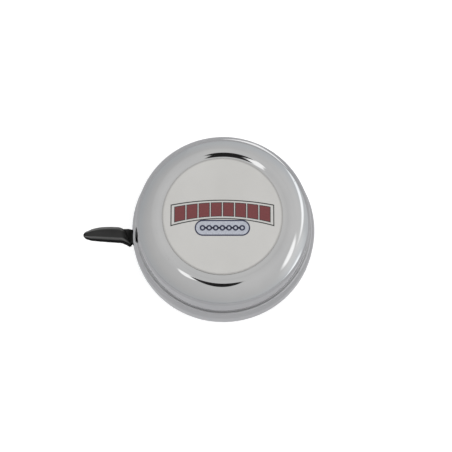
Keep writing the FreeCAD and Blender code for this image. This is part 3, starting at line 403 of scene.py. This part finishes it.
def plated_steel(name, colour, roughness, lines=None):
    """Metal with a rolled grain, or turned lines that many millimetres apart, and rounded edges."""
    paint = Paint(name, metallic=1.0)
    paint.round_edges(0.12)
    patch = paint.noise(120, 3.0, 0.55)
    if lines:
        fine = paint.turned_lines(lines)
    else:
        fine = paint.noise(500, 2.0, 0.5, paint.stretched(1, 3, 1))
    dark = tuple(part * 0.86 for part in colour)
    paint.bump(fine, 0.0008, 0.5)
    return paint.finish(Base_Color=paint.mix(patch, dark, colour),
                        Roughness=paint.span(fine, roughness * 0.85, roughness * 1.2, 0.3, 0.7))


RUBBER = (0.018, 0.018, 0.019)
RUBBER_BLOOM = (0.042, 0.041, 0.040)


def liner_rubber():
    """Matte black rubber with a dusty bloom."""
    paint = Paint("liner_rubber")
    grain = paint.noise(1800, 4.0, 0.65)
    paint.round_edges(0.2)
    paint.bump(grain, 0.05, 0.6)
    tone = paint.mix(paint.noise(120, 4.0), RUBBER, RUBBER_BLOOM)
    return paint.finish(Base_Color=tone, Roughness=paint.span(grain, 0.62, 0.85, 0.3, 0.7))


# ---------------------------------------------------------------- dome and badge
CREST_RADIUS = 21.6
CREST_BEND = 3.35
CREST_TURN = 26.0
CROWN_BEND = 15.9
CROWN_TURN = 45.0
SHOULDER_BEND = 2.5
WALL_LEAN = 2.8
BEAD_BEND = 2.6
BEAD_SLOPE = 21.0
RECESS_BEND = 3.2
DOME_WALL = 1.0
BOSS_HOLE = 3.5
RIM_DROP = 0.42
RIM_ROUND = 0.35
WALL_STEPS = 8
RECESS_STEPS = 6


def toward(degrees):
    """Unit vector in the profile plane, leaning outward from upright by that many degrees."""
    return Vector((sin(radians(degrees)), cos(radians(degrees))))


def dome_skin(crest_z, rim_z, inset):
    """The dome's face from rim to recess, set in by that much."""
    crest = Vector((CREST_RADIUS, crest_z - CREST_BEND))
    crown = crest - (CROWN_BEND - CREST_BEND) * toward(CREST_TURN)
    shoulder = crown + (CROWN_BEND - SHOULDER_BEND) * toward(CROWN_TURN)
    bead = (CREST_RADIUS, crest_z - BEAD_BEND)
    foot_r = CREST_RADIUS - (BEAD_BEND + RECESS_BEND) * sin(radians(BEAD_SLOPE))
    floor_z = crest_z - (BEAD_BEND + RECESS_BEND) * (1 - cos(radians(BEAD_SLOPE)))
    bends = [
        arc(shoulder, SHOULDER_BEND - inset, WALL_LEAN, 90 - CROWN_TURN, 3),
        arc(crown, CROWN_BEND - inset, 90 - CROWN_TURN, 90 - CREST_TURN, 2),
        arc(crest, CREST_BEND - inset, 90 - CREST_TURN, 90, 2),
        arc(bead, BEAD_BEND - inset, 90, 90 + BEAD_SLOPE, 2),
        arc((foot_r, floor_z + RECESS_BEND), RECESS_BEND + inset, BEAD_SLOPE - 90, -90, 2),
    ]
    start_r, start_z = bends[0][0]
    rim_r = start_r + (start_z - rim_z) * tan(radians(WALL_LEAN))
    wall = [(rim_r + (start_r - rim_r) * i / WALL_STEPS, rim_z + (start_z - rim_z) * i / WALL_STEPS)
            for i in range(WALL_STEPS)]
    floor = [(foot_r + (BOSS_HOLE - foot_r) * i / RECESS_STEPS, floor_z - inset)
             for i in range(1, RECESS_STEPS + 1)]
    return wall + bends[0] + [point for bend in bends[1:] for point in bend[1:]] + floor


def make_dome():
    """The bell's dome as one shell, its rim rounded and let down a little over the cup's lip."""
    low, high = box_mm("bell_dome")
    rim_z = low.z - RIM_DROP
    outer = dome_skin(high.z, rim_z, 0.0)
    inner = dome_skin(high.z, rim_z, DOME_WALL)
    rim = rounded_edge(outer[0][0], inner[0][0], rim_z, RIM_ROUND, upward=False)
    above = [[point for point in skin if point[1] > rim_z + RIM_ROUND] for skin in (outer, inner)]
    dome = lathe("dome", rim[::-1][1:-1] + above[0] + above[1][::-1])
    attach(dome, "base")
    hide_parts("bell_dome")
    dome.data.materials.append(chrome("dome_chrome", 0.0012, 0.035))


BADGE_ROUND = 0.12


def make_badge():
    """The badge disc, its top edge rounded over. Gives its centre and the height of its face."""
    low, high = box_mm("crown_badge")
    radius = (high.x - low.x) / 2
    centre = (low + high) / 2
    side_top = high.z - BADGE_ROUND
    profile = [(radius, low.z), (radius, side_top)]
    profile += arc((radius - BADGE_ROUND, side_top), BADGE_ROUND, 15, 90, 15)
    profile += [(radius * share, high.z) for share in (0.95, 0.8, 0.6, 0.4, 0.2)]
    turns = [2 * pi * i / SEGMENTS for i in range(SEGMENTS)]
    rings = [[(centre.x + r * cos(t), centre.y + r * sin(t), z) for t in turns] for r, z in profile]
    points = []
    faces = []
    loft(points, faces, rings)
    badge = mesh_object("badge", points, faces)
    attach(badge, "base")
    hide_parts("crown_badge")
    badge.data.materials.append(badge_film(centre, radius))
    return centre, high.z


INK_SINK = 0.05


def ink_layer(name, shapes, top, film, colour):
    """Flat prints of one ink: each shape an outline, or an outline and a hole of as many points."""
    points = []
    faces = []
    for rings in shapes:
        first = len(points)
        count = len(rings[0])
        for z in (top - INK_SINK, top + film):
            for ring in rings:
                points += [(x, y, z) for x, y in ring]
        high = first + count * len(rings)
        if len(rings) == 1:
            faces.append(tuple(range(high, high + count)))
        for i in range(count):
            k = (i + 1) % count
            for edge in range(len(rings)):
                low = first + edge * count
                above = high + edge * count
                faces.append((low + i, low + k, above + k, above + i))
            if len(rings) == 2:
                faces.append((high + i, high + k, high + count + k, high + count + i))
    layer = mesh_object(name, points, faces)
    layer.data.materials.append(print_ink(name + "_ink", colour))
    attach(layer, "base")


DARK_INK = (0.012, 0.014, 0.013)
NAVY_INK = (0.010, 0.014, 0.050)
RED_INK = (0.150, 0.020, 0.022)
PLATE_INK = (0.42, 0.44, 0.50)
EMBLEM_HALF = 16.2
ARCH_MIDDLE = 2.1
ARCH_DROP = 1.95
ARCH_FLARE = 0.12
BORDER_GAP = 0.7
BORDER_STEPS = 32
BLOCKS = 8
BLOCK_HALF = 2.15
BLOCK_GAP = 0.3
BLOCK_STEPS = 6
EDGE_WIDE = 0.16
EDGE_TALL = 0.2
RED_INSET = 0.05
OUTLINE = 0.32
PLATE_HALF = 8.4
PLATE_ROUND = 2.2
PLATE_MIDDLE = -4.0
PLATE_OUTLINE = 0.42
LINKS = 7
LINK_PITCH = 2.1
LINK_RADIUS = 0.95
LINK_HOLE = 0.42
BAR_START = 0.7
BAR_END = 1.4
BAR_HALF = 0.3


def make_emblem(centre, top):
    """A plain generic print: an arched row of red blocks over a plate with a bicycle chain."""
    plate_y = centre.y + PLATE_MIDDLE

    def arched(x, y):
        """Bends the straight row into an arch that grows a little taller at its ends."""
        share = (x / EMBLEM_HALF) ** 2
        return (centre.x + x, centre.y + ARCH_MIDDLE - ARCH_DROP * share + y * (1 + ARCH_FLARE * share))

    def band(x0, x1, half, steps):
        """A piece of the arch between two places."""
        places = [x0 + (x1 - x0) * i / steps for i in range(steps + 1)]
        return [arched(x, -half) for x in places] + [arched(x, half) for x in reversed(places)]

    def disc(x, radius):
        """A small circle on the plate's middle line."""
        turns = [radians(15 * i) for i in range(24)]
        return [(centre.x + x + radius * cos(t), plate_y + radius * sin(t)) for t in turns]

    def plate(grow):
        """The long round-ended plate."""
        radius = PLATE_ROUND + grow
        reach = PLATE_HALF - PLATE_ROUND
        ends = arc((reach, 0), radius, -90, 90, 10) + arc((-reach, 0), radius, 90, 270, 10)
        return [(centre.x + x, plate_y + y) for x, y in ends]

    def bar(x):
        """The plain link between two discs of the chain."""
        left, right = centre.x + x + BAR_START, centre.x + x + BAR_END
        low, high = plate_y - BAR_HALF, plate_y + BAR_HALF
        return [(left, low), (right, low), (right, high), (left, high)]

    def border(grow):
        """The frame round the whole row."""
        reach = EMBLEM_HALF + grow
        return band(-reach, reach, BLOCK_HALF + BORDER_GAP + grow, BORDER_STEPS)

    pitch = 2 * (EMBLEM_HALF - BORDER_GAP) / BLOCKS
    starts = [-BLOCKS * pitch / 2 + pitch * i for i in range(BLOCKS)]
    blocks = [(x + BLOCK_GAP, x + pitch - BLOCK_GAP) for x in starts]
    edge_half = BLOCK_HALF + EDGE_TALL
    edges = [[band(x0 - EDGE_WIDE, x1 + EDGE_WIDE, edge_half, BLOCK_STEPS)] for x0, x1 in blocks]
    reds = [[band(x0 + RED_INSET, x1 - RED_INSET, BLOCK_HALF, BLOCK_STEPS)] for x0, x1 in blocks]
    spots = [LINK_PITCH * (i - (LINKS - 1) / 2) for i in range(LINKS)]
    rings = [[disc(x, LINK_RADIUS), disc(x, LINK_HOLE)] for x in spots]
    bars = [[bar(x)] for x in spots[:-1]]
    ink_layer("emblem_outline", [[border(OUTLINE), border(0)]] + edges, top, 0.02, DARK_INK)
    ink_layer("emblem_blocks", reds, top, 0.04, RED_INK)
    ink_layer("emblem_plate", [[plate(0)]], top, 0.03, PLATE_INK)
    ink_layer("emblem_plate_edge", [[plate(PLATE_OUTLINE), plate(0)]], top, 0.04, NAVY_INK)
    ink_layer("emblem_chain", rings + bars, top, 0.045, NAVY_INK)


# ---------------------------------------------------------------- cup
CUP_WALL = 0.9
CUP_CORNER = 5.45
CUP_STRAIGHT = 4.5
LIP_BEND = 6.0
LIP_ROUND = 0.35
FLOOR_HOLE = 2.6
FLOOR_STEPS = 8
SLOT_FOOT = 0.55
SLOT_LOW = 20.2
SLOT_HIGH = 24.6
SLOT_COLUMNS = 7
LIP_STEP = 0.25
LIP_STEPS = 12
LIP_ROOM = 0.4
LIP_OUTER_CURL = 0.1
LIP_INNER_CURL = 0.15
STRIP_START = 179.5
STRIP_END = 190.2


def strip_share(turn):
    """How straight the strip over the lever slot stands at a bearing: grows slowly, ends at once."""
    along = (turn - STRIP_START) / (STRIP_END - STRIP_START)
    return 1 - (1 - along) ** 2 if 0 < along < 1 else 0.0


def cup_skin(low, high, radius, inset):
    """The cup's face from the floor hole to just under the lip, and the row numbers of the slot."""
    wall_low = low + CUP_CORNER
    wall_high = wall_low + CUP_STRAIGHT
    floor_r = radius - CUP_CORNER
    floor_step = (floor_r - FLOOR_HOLE) / FLOOR_STEPS
    floor = [(FLOOR_HOLE + floor_step * i, low + inset) for i in range(FLOOR_STEPS)]
    corner = arc((floor_r, wall_low), CUP_CORNER - inset, -90, 0, 4)
    heights = [wall_low + SLOT_FOOT, SLOT_LOW, (SLOT_LOW + wall_high) / 2, wall_high]
    lip = [wall_high + LIP_STEP * i for i in range(1, LIP_STEPS + 1)]
    heights += [z for z in lip if z < high - LIP_ROOM]
    bend = LIP_BEND - inset
    wall = [(radius - LIP_BEND + sqrt(bend**2 - max(0, z - wall_high) ** 2), z) for z in heights]
    below = len(floor) + len(corner)
    slot_top = min(heights, key=lambda z: abs(z - SLOT_HIGH))
    return floor + corner + wall, below + heights.index(SLOT_LOW), below + heights.index(slot_top)


def make_cup():
    """The cup as one shell, with the lever slot left open in its wall."""
    low, high = box_mm("base_cup")
    radius = high.x
    outer, first, last = cup_skin(low.z, high.z, radius, 0.0)
    inner, _, _ = cup_skin(low.z, high.z, radius, CUP_WALL)
    lip_outer, lip_inner = outer[-1][0] - LIP_OUTER_CURL, inner[-1][0] - LIP_INNER_CURL
    lip = rounded_edge(lip_outer, lip_inner, high.z, LIP_ROUND, upward=True)
    profile = outer + lip + inner[::-1]
    rows = len(profile)

    def vertex(column, row):
        return column % SEGMENTS * rows + row % rows

    def twin(row):
        """The inner skin's row behind an outer one."""
        return rows - 1 - row

    def push(row):
        """How far a row moves outward where the strip stands straight instead of curling in."""
        nearest = min(row, twin(row), len(outer) - 1)
        return max(0.0, outer[last][0] - outer[nearest][0]) if nearest > last else 0.0

    pushes = [push(j) for j in range(rows)]
    points = []
    for i in range(SEGMENTS):
        turn = 2 * pi * i / SEGMENTS
        share = strip_share(360 * i / SEGMENTS)
        column = [(r + share * out, z) for (r, z), out in zip(profile, pushes)]
        points += [(r * cos(turn), r * sin(turn), z) for r, z in column]

    middle = SEGMENTS // 2
    slot_columns = range(middle - SLOT_COLUMNS, middle + SLOT_COLUMNS)
    open_rows = set(range(first, last)) | {twin(j) - 1 for j in range(first, last)}
    faces = []
    for i in range(SEGMENTS):
        for j in range(rows):
            if not (i in slot_columns and j in open_rows):
                faces.append((vertex(i, j), vertex(i + 1, j), vertex(i + 1, j + 1), vertex(i, j + 1)))
    for i in slot_columns:
        for j in (first, last):
            faces.append((vertex(i, j), vertex(i + 1, j), vertex(i + 1, twin(j)), vertex(i, twin(j))))
    for i in (slot_columns[0], slot_columns[-1] + 1):
        for j in range(first, last):
            faces.append((vertex(i, j), vertex(i, j + 1), vertex(i, twin(j + 1)), vertex(i, twin(j))))
    cup = mesh_object("cup", points, faces)
    break_edges(cup, 0.15, 60)
    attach(cup, "base")
    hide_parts("base_cup")
    cup.data.materials.append(chrome("cup_chrome", 0.003, 0.05))
    cup.data.materials.append(plated_steel("cut_edge", (0.50, 0.50, 0.51), 0.4))
    for face in cup.data.polygons:
        if face.center.z > (high.z - LIP_ROUND) * MM:
            face.material_index = 1


# ---------------------------------------------------------------- thumb grip
FAR_EDGE = [(-46.0, -1.35), (-44.5, -0.85), (-42.6, -0.05), (-39.5, 0.45), (-35.5, 0.48), (-32.8, 0.22),
            (-30.2, -0.28)]
NEAR_EDGE = [(-46.0, -2.8), (-44.6, -3.2), (-43.2, -3.6), (-39.0, -3.92), (-35.0, -4.15), (-32.8, -4.35),
             (-30.2, -5.35)]
GRIP_ROOT = -30.2
GRIP_STATIONS = 56
NOSE = 1.1
NOSE_END = 0.0004
HEEL_SLANT = 2.1
TOP_NOSE_START = 0.6
TOP_NOSE_DROP = 0.7
TOP_ROOT_SHARE = 0.2
TOP_ROOT_DROP = 1.4
KEEL_RISE = 1.8
KEEL_TALL = 0.55
KEEL_WIDE = 1.6
RIM_ROUND_MAX = 0.75
THUMB_DISH = 0.4
NECK_BEARING = 176.0
NECK_LOW = 20.7
NECK_HIGH = 24.2
NECK_ROWS = [
    # distance from the pivot, half width on the near and on the far side
    (6.3, 2.2, 2.2),
    (9.8, 2.2, 2.2),
    (10.6, 3.05, 2.3),
    (11.4, 2.65, 2.4),
    (13.5, 1.9, 2.2),
]


def pad_section(near, far, bottom, top, shoulder, keel, keel_tall, dish):
    """A loop of (across, height) points: rounded rims, a dished top and a keel drawn in below."""
    near_rim = arc((near + shoulder, top - shoulder), shoulder, 180, 90, 18)
    far_rim = arc((far - shoulder, top - shoulder), shoulder, 90, 0, 18)
    wide = (far - near) / 2 - shoulder
    middle = (far + near) / 2
    steps = [i / 5 - 1 for i in range(1, 10)]
    hollow = [(middle + wide * t, top - dish * (1 - t * t)) for t in steps]
    turns = [radians(15 * i) for i in range(7)]
    drawn = [(keel * (cos(t) - 1), bottom + keel_tall * (1 - sin(t))) for t in turns]
    far_keel = [(far + y, z) for y, z in drawn]
    near_keel = [(near - y, z) for y, z in reversed(drawn)]
    return near_rim + hollow + far_rim + far_keel + near_keel


def pad_rows():
    """The pad's sections from its slanted root to its nose."""
    low, high = box_mm("thumb_grip")
    tip = FAR_EDGE[0][0]
    rows = []
    for i in range(GRIP_STATIONS + 1):
        share = sin(pi / 2 * i / GRIP_STATIONS)
        x = GRIP_ROOT + (tip - GRIP_ROOT) * share
        past = max(0.0, tip + NOSE - x) / NOSE
        nose = sqrt(max(NOSE_END, 1 - past * past))
        near = curve_through(NEAR_EDGE, x)
        far = curve_through(FAR_EDGE, x)
        middle = (near + far) / 2
        half = (far - near) / 2 * nose
        toward_nose = max(0.0, share - TOP_NOSE_START) / (1 - TOP_NOSE_START)
        toward_root = max(0.0, 1 - share / TOP_ROOT_SHARE)
        top = high.z - TOP_NOSE_DROP * toward_nose**2 - 1.2 * (1 - nose) - TOP_ROOT_DROP * toward_root**2
        bottom = low.z + KEEL_RISE * share * share + 2.0 * (1 - nose)
        shoulder = min(RIM_ROUND_MAX, 0.4 * half)
        keel = min(KEEL_WIDE, 0.8 * half)
        dish = THUMB_DISH * nose * min(1.0, 12 * share)
        loop = pad_section(middle - half, middle + half, bottom, top, shoulder, keel,
                           (top - bottom) * KEEL_TALL, dish)
        slant = HEEL_SLANT * max(0.0, 1 - 4 * share)
        rows.append([(x - slant * (y - near) / (far - near), y, z) for y, z in loop])
    return rows


def neck_rows():
    """The neck's sections, from inside the cup through the slot into the pad."""
    pin_low, pin_high = box_mm("lever_pivot_pin")
    pivot = (pin_low + pin_high) / 2
    turn = radians(NECK_BEARING)
    ahead = Vector((cos(turn), sin(turn)))
    side = Vector((sin(turn), -cos(turn)))
    rows = []
    for reach, near, far in NECK_ROWS:
        loop = pad_section(-near, far, NECK_LOW, NECK_HIGH, 0.4, 0.5, 0.5, 0.0)
        spot = pivot.xy + ahead * reach
        rows.append([(*(spot + side * y), z) for y, z in loop])
    return rows


def make_grip():
    """Fin-shaped thumb pad with a dished top, and its neck through the cup's slot."""
    points = []
    faces = []
    loft(points, faces, pad_rows())
    loft(points, faces, neck_rows())
    grip = mesh_object("grip", points, faces, sharp=60)
    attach(grip, "lever")
    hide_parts("thumb_grip")
    grip.data.materials.append(grip_plastic())


# ---------------------------------------------------------------- return spring
WIRE = 0.45
COIL = 3.8
COIL_TURNS = 4.5
COIL_PITCH = 1.05
LEG = 6.5
LEG_STEPS = 6
TURN_STEPS = 36


def make_spring():
    """Left-hand torsion spring; its coil winds up between the cup and the lever."""
    low, _ = box_mm("return_spring")
    pin_low, pin_high = box_mm("lever_pivot_pin")
    axis = (pin_low + pin_high) / 2
    slope = COIL_PITCH / (2 * pi * COIL)
    start_z = low.z + WIRE + LEG * slope
    path = []
    for i in range(LEG_STEPS):
        left = LEG * (1 - i / LEG_STEPS)
        path.append((axis.x + COIL, axis.y + left, start_z - left * slope))
    steps = int(COIL_TURNS * TURN_STEPS)
    for i in range(steps + 1):
        turns = COIL_TURNS * i / steps
        bearing = -2 * pi * turns
        spot = (axis.x + COIL * cos(bearing), axis.y + COIL * sin(bearing), start_z + COIL_PITCH * turns)
        path.append(spot)
    x, y, z = path[-1]
    for i in range(1, LEG_STEPS + 1):
        gone = LEG * i / LEG_STEPS
        path.append((x, y + gone, z + gone * slope))
    spring = tube("spring", path, WIRE)
    spring.data.materials.append(plated_steel("spring_wire", (0.45, 0.45, 0.47), 0.32))
    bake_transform(spring)
    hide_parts("return_spring")


# ---------------------------------------------------------------- CAD pieces kept as they are
def paint_nodes():
    """Gives every CAD node that isn't replaced its material."""
    zinc = plated_steel("zinc_plate", (0.70, 0.71, 0.72), 0.26)
    turned = plated_steel("turned_steel", (0.62, 0.62, 0.62), 0.24, lines=0.12)
    pressed = plated_steel("pressed_steel", (0.56, 0.56, 0.57), 0.30)
    clip = plated_steel("clip_steel", (0.34, 0.34, 0.36), 0.34)
    brass = plated_steel("gear_brass", (0.78, 0.60, 0.30), 0.28)
    groups = [
        (zinc, ["clamp_saddle", "clamp_strap", "clamp_screws", "clamp_lock_washers", "clamp_nuts"]),
        (liner_rubber(), ["clamp_liner"]),
        (turned, ["centre_post", "dome_boss", "lever_pivot_pin", "idler_pin"]),
        (turned, ["spring_anchor_pin", "striker_pins"]),
        (clip, ["lever_clip", "idler_clip", "rotor_clip"]),
        (pressed, ["lever_arm", "striker_arm", "striker_a", "striker_b", "rotor_thrust_washer"]),
        (brass, ["idler_gear", "idler_pinion", "rotor_pinion"]),
    ]
    for material, names in groups:
        for name in names:
            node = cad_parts[name]
            node.data.materials.clear()
            node.data.materials.append(material)


# ---------------------------------------------------------------- studio
VIEW_TILT = 14.55
VIEW_DISTANCE = 498.3
FRAME_WIDTH = 150.15
SENSOR_WIDTH = 36
AIM = (0.9, 2.25, 19.7)


def make_camera():
    """Looks down on the dome, tilted a little towards the viewer's side."""
    data = bpy.data.cameras.new("camera")
    data.sensor_width = SENSOR_WIDTH
    data.lens = SENSOR_WIDTH * VIEW_DISTANCE / FRAME_WIDTH
    camera = bpy.data.objects.new("camera", data)
    bpy.context.scene.collection.objects.link(camera)
    tilt = radians(VIEW_TILT)
    back = Vector((0, -sin(tilt), cos(tilt)))
    camera.location = (Vector(AIM) + back * VIEW_DISTANCE) * MM
    camera.rotation_euler = (tilt, 0, 0)
    data.clip_start = 0.01
    data.clip_end = 20
    bpy.context.scene.camera = camera


SOFT_BOXES = [
    # azimuth, elevation, width, height and roll in degrees, softness, added brightness
    (-55, 74.4, 11, 36, 14, 0.15, 0.85),
    (76, 31, 26, 9, 8, 0.35, 0.85),
    (66, 3, 26, 10, 10, 0.35, 0.80),
    (75, 14, 36, 30, 0, 0.50, 0.20),
    (110, 12, 130, 40, 0, 0.60, 0.12),
    (118, 9.5, 56, 6.5, -26, 0.40, 0.90),
]
# the dark camera over the dome: the same numbers, the last one the share of light it takes away
CAMERA_CARD = (-8, 74, 19, 39, 9, 0.09, 0.97)
HORIZON_DIM = 0.30
SKY_LOW = 0.74
SKY_HIGH = 0.92
SIDE_GAIN = 0.08
COOL_LOW = 0.03


class Sky(NodeTree):
    """Brightness of the studio round the bell, built from the direction looked at."""

    def __init__(self, tree):
        super().__init__(tree)
        self.direction = self.node("ShaderNodeTexCoord").outputs["Generated"]

    def along(self, vector):
        """How far the direction points along a vector."""
        made = self.node("ShaderNodeVectorMath", {0: self.direction, 1: vector}, operation="DOT_PRODUCT")
        return made.outputs["Value"]

    def smooth(self, value, start, end):
        """0 before start, 1 after end."""
        values = {"Value": value, "From Min": start, "From Max": end}
        return self.node("ShaderNodeMapRange", values, interpolation_type="SMOOTHSTEP").outputs[0]

    def square(self, value):
        return self.math("MULTIPLY", value, value)

    def less(self, value, share, depth):
        """A brightness with that depth taken out of it where share is 1."""
        return self.math("MULTIPLY", value, self.math("SUBTRACT", 1.0, self.math("MULTIPLY", share, depth)))

    def window(self, azimuth, elevation, wide, tall, roll, soft):
        """1 inside an oval patch of sky, sizes in degrees, falling to 0 over its soft edge."""
        turn, lift, spin = radians(azimuth), radians(elevation), radians(roll)
        ahead = Vector((sin(turn) * cos(lift), -cos(turn) * cos(lift), sin(lift)))
        side = Vector((cos(turn), sin(turn), 0))
        up = ahead.cross(side)
        long_way = self.along(side * cos(spin) + up * sin(spin))
        short_way = self.along(up * cos(spin) - side * sin(spin))
        across = self.math("DIVIDE", long_way, sin(radians(wide / 2)))
        over = self.math("DIVIDE", short_way, sin(radians(tall / 2)))
        spread = self.math("SQRT", self.math("ADD", self.square(across), self.square(over)))
        front = self.math("GREATER_THAN", self.along(ahead), 0.0)
        inside = self.math("SUBTRACT", 1.0, self.smooth(spread, 1 - soft, 1 + soft))
        return self.math("MULTIPLY", inside, front)

    def horizon(self, height):
        """1 in a thin band at the horizon on the viewer's side."""
        band = self.math("MULTIPLY", self.smooth(height, -0.06, -0.01), self.smooth(height, 0.07, 0.03))
        return self.math("MULTIPLY", band, self.smooth(self.along((0, -1, 0)), 0.2, 0.7))

    def tinted(self, level, height):
        """Turns a brightness into a colour that is slightly cool near the horizon."""
        cool = self.math("MULTIPLY", self.smooth(height, 0.45, 0.05), COOL_LOW)
        warm_gain = self.math("SUBTRACT", 1.0, cool)
        cool_gain = self.math("ADD", 1.0, cool)
        parts = {0: self.math("MULTIPLY", level, warm_gain), 1: level,
                 2: self.math("MULTIPLY", level, cool_gain)}
        return self.node("ShaderNodeCombineColor", parts).outputs[0]


def make_world():
    """Even white studio sky with soft boxes, a dim horizon and the dark camera seen in the chrome."""
    world = bpy.data.worlds.new("studio")
    bpy.context.scene.world = world
    world.use_nodes = True
    world.node_tree.nodes.clear()
    sky = Sky(world.node_tree)
    height = sky.along((0, 0, 1))
    rise = sky.math("MULTIPLY", sky.smooth(height, 0.0, 0.9), SKY_HIGH - SKY_LOW)
    side_gain = sky.math("ADD", 1.0, sky.math("MULTIPLY", sky.along((1, 0, 0)), SIDE_GAIN))
    level = sky.math("MULTIPLY", sky.math("ADD", rise, SKY_LOW), side_gain)
    level = sky.less(level, sky.horizon(height), HORIZON_DIM)
    for *place, gain in SOFT_BOXES:
        level = sky.math("ADD", level, sky.math("MULTIPLY", sky.window(*place), gain))
    *place, depth = CAMERA_CARD
    level = sky.less(level, sky.window(*place), depth)
    background = sky.node("ShaderNodeBackground", {"Color": sky.tinted(level, height)})
    sky.node("ShaderNodeOutputWorld", {"Surface": background.outputs[0]})


FLOOR_SEEN = (0.94, 0.94, 0.94)
FLOOR_MIRRORED = (0.64, 0.64, 0.66)
FLOOR_GLOW = 0.3
FLOOR_HALF = 1.5


def floor_paper():
    """Matte paper that glows a little for the camera and looks darker in the chrome."""
    paint = Paint("floor_paper")
    ray = paint.node("ShaderNodeLightPath")
    paint.bump(paint.noise(900, 3.0), 0.02, 0.1)
    tone = paint.mix(ray.outputs["Is Glossy Ray"], FLOOR_SEEN, FLOOR_MIRRORED)
    glow = paint.math("MULTIPLY", ray.outputs["Is Camera Ray"], FLOOR_GLOW)
    return paint.finish(Base_Color=tone, Roughness=0.9, Specular_IOR_Level=0.1,
                        Emission_Color=(1, 1, 1, 1), Emission_Strength=glow)


def make_floor():
    """Plain pale floor just under the clamp."""
    corners = [(-1, -1), (1, -1), (1, 1), (-1, 1)]
    mesh = bpy.data.meshes.new("floor")
    mesh.from_pydata([(x * FLOOR_HALF, y * FLOOR_HALF, FLOOR_Z) for x, y in corners], [], [(0, 1, 2, 3)])
    floor = bpy.data.objects.new("floor", mesh)
    bpy.context.scene.collection.objects.link(floor)
    mesh.materials.append(floor_paper())


LAMPS = [
    # name, place in metres, size in metres, watts
    ("key", (0.35, -0.5, 0.9), 0.7, 2.6),
    ("fill", (-0.7, 0.3, 0.8), 0.9, 1.0),
]
STRIP_PLACE = (0.24, 0.42)
STRIP_TURN = 38
STRIP_SIZE = (0.54, 0.12)
STRIP_WATTS = 0.20


def make_lights():
    """Large soft lamps that light the floor and the plastic but stay out of the chrome."""
    for name, spot, size, power in LAMPS:
        data = bpy.data.lights.new(name, "AREA")
        data.size = size
        data.energy = power
        lamp = bpy.data.objects.new(name, data)
        lamp.location = spot
        lamp.rotation_euler = Vector(spot).to_track_quat("Z", "Y").to_euler()
        lamp.visible_glossy = False
        lamp.visible_camera = False
        bpy.context.scene.collection.objects.link(lamp)


def make_strip():
    """A strip light lying behind the bell, seen only as a thin line in the chrome."""
    data = bpy.data.lights.new("strip", "AREA")
    data.shape = "RECTANGLE"
    data.size, data.size_y = STRIP_SIZE
    data.energy = STRIP_WATTS
    strip = bpy.data.objects.new("strip", data)
    strip.location = (*STRIP_PLACE, FLOOR_Z + MM)
    strip.rotation_euler = (pi, 0, radians(STRIP_TURN))
    strip.visible_camera = False
    strip.visible_diffuse = False
    bpy.context.scene.collection.objects.link(strip)


make_dome()
badge_centre, badge_top = make_badge()
make_emblem(badge_centre, badge_top)
make_cup()
make_grip()
make_spring()
paint_nodes()
make_camera()
make_world()
make_floor()
make_lights()
make_strip()
bpy.context.scene.view_settings.view_transform = "Standard"
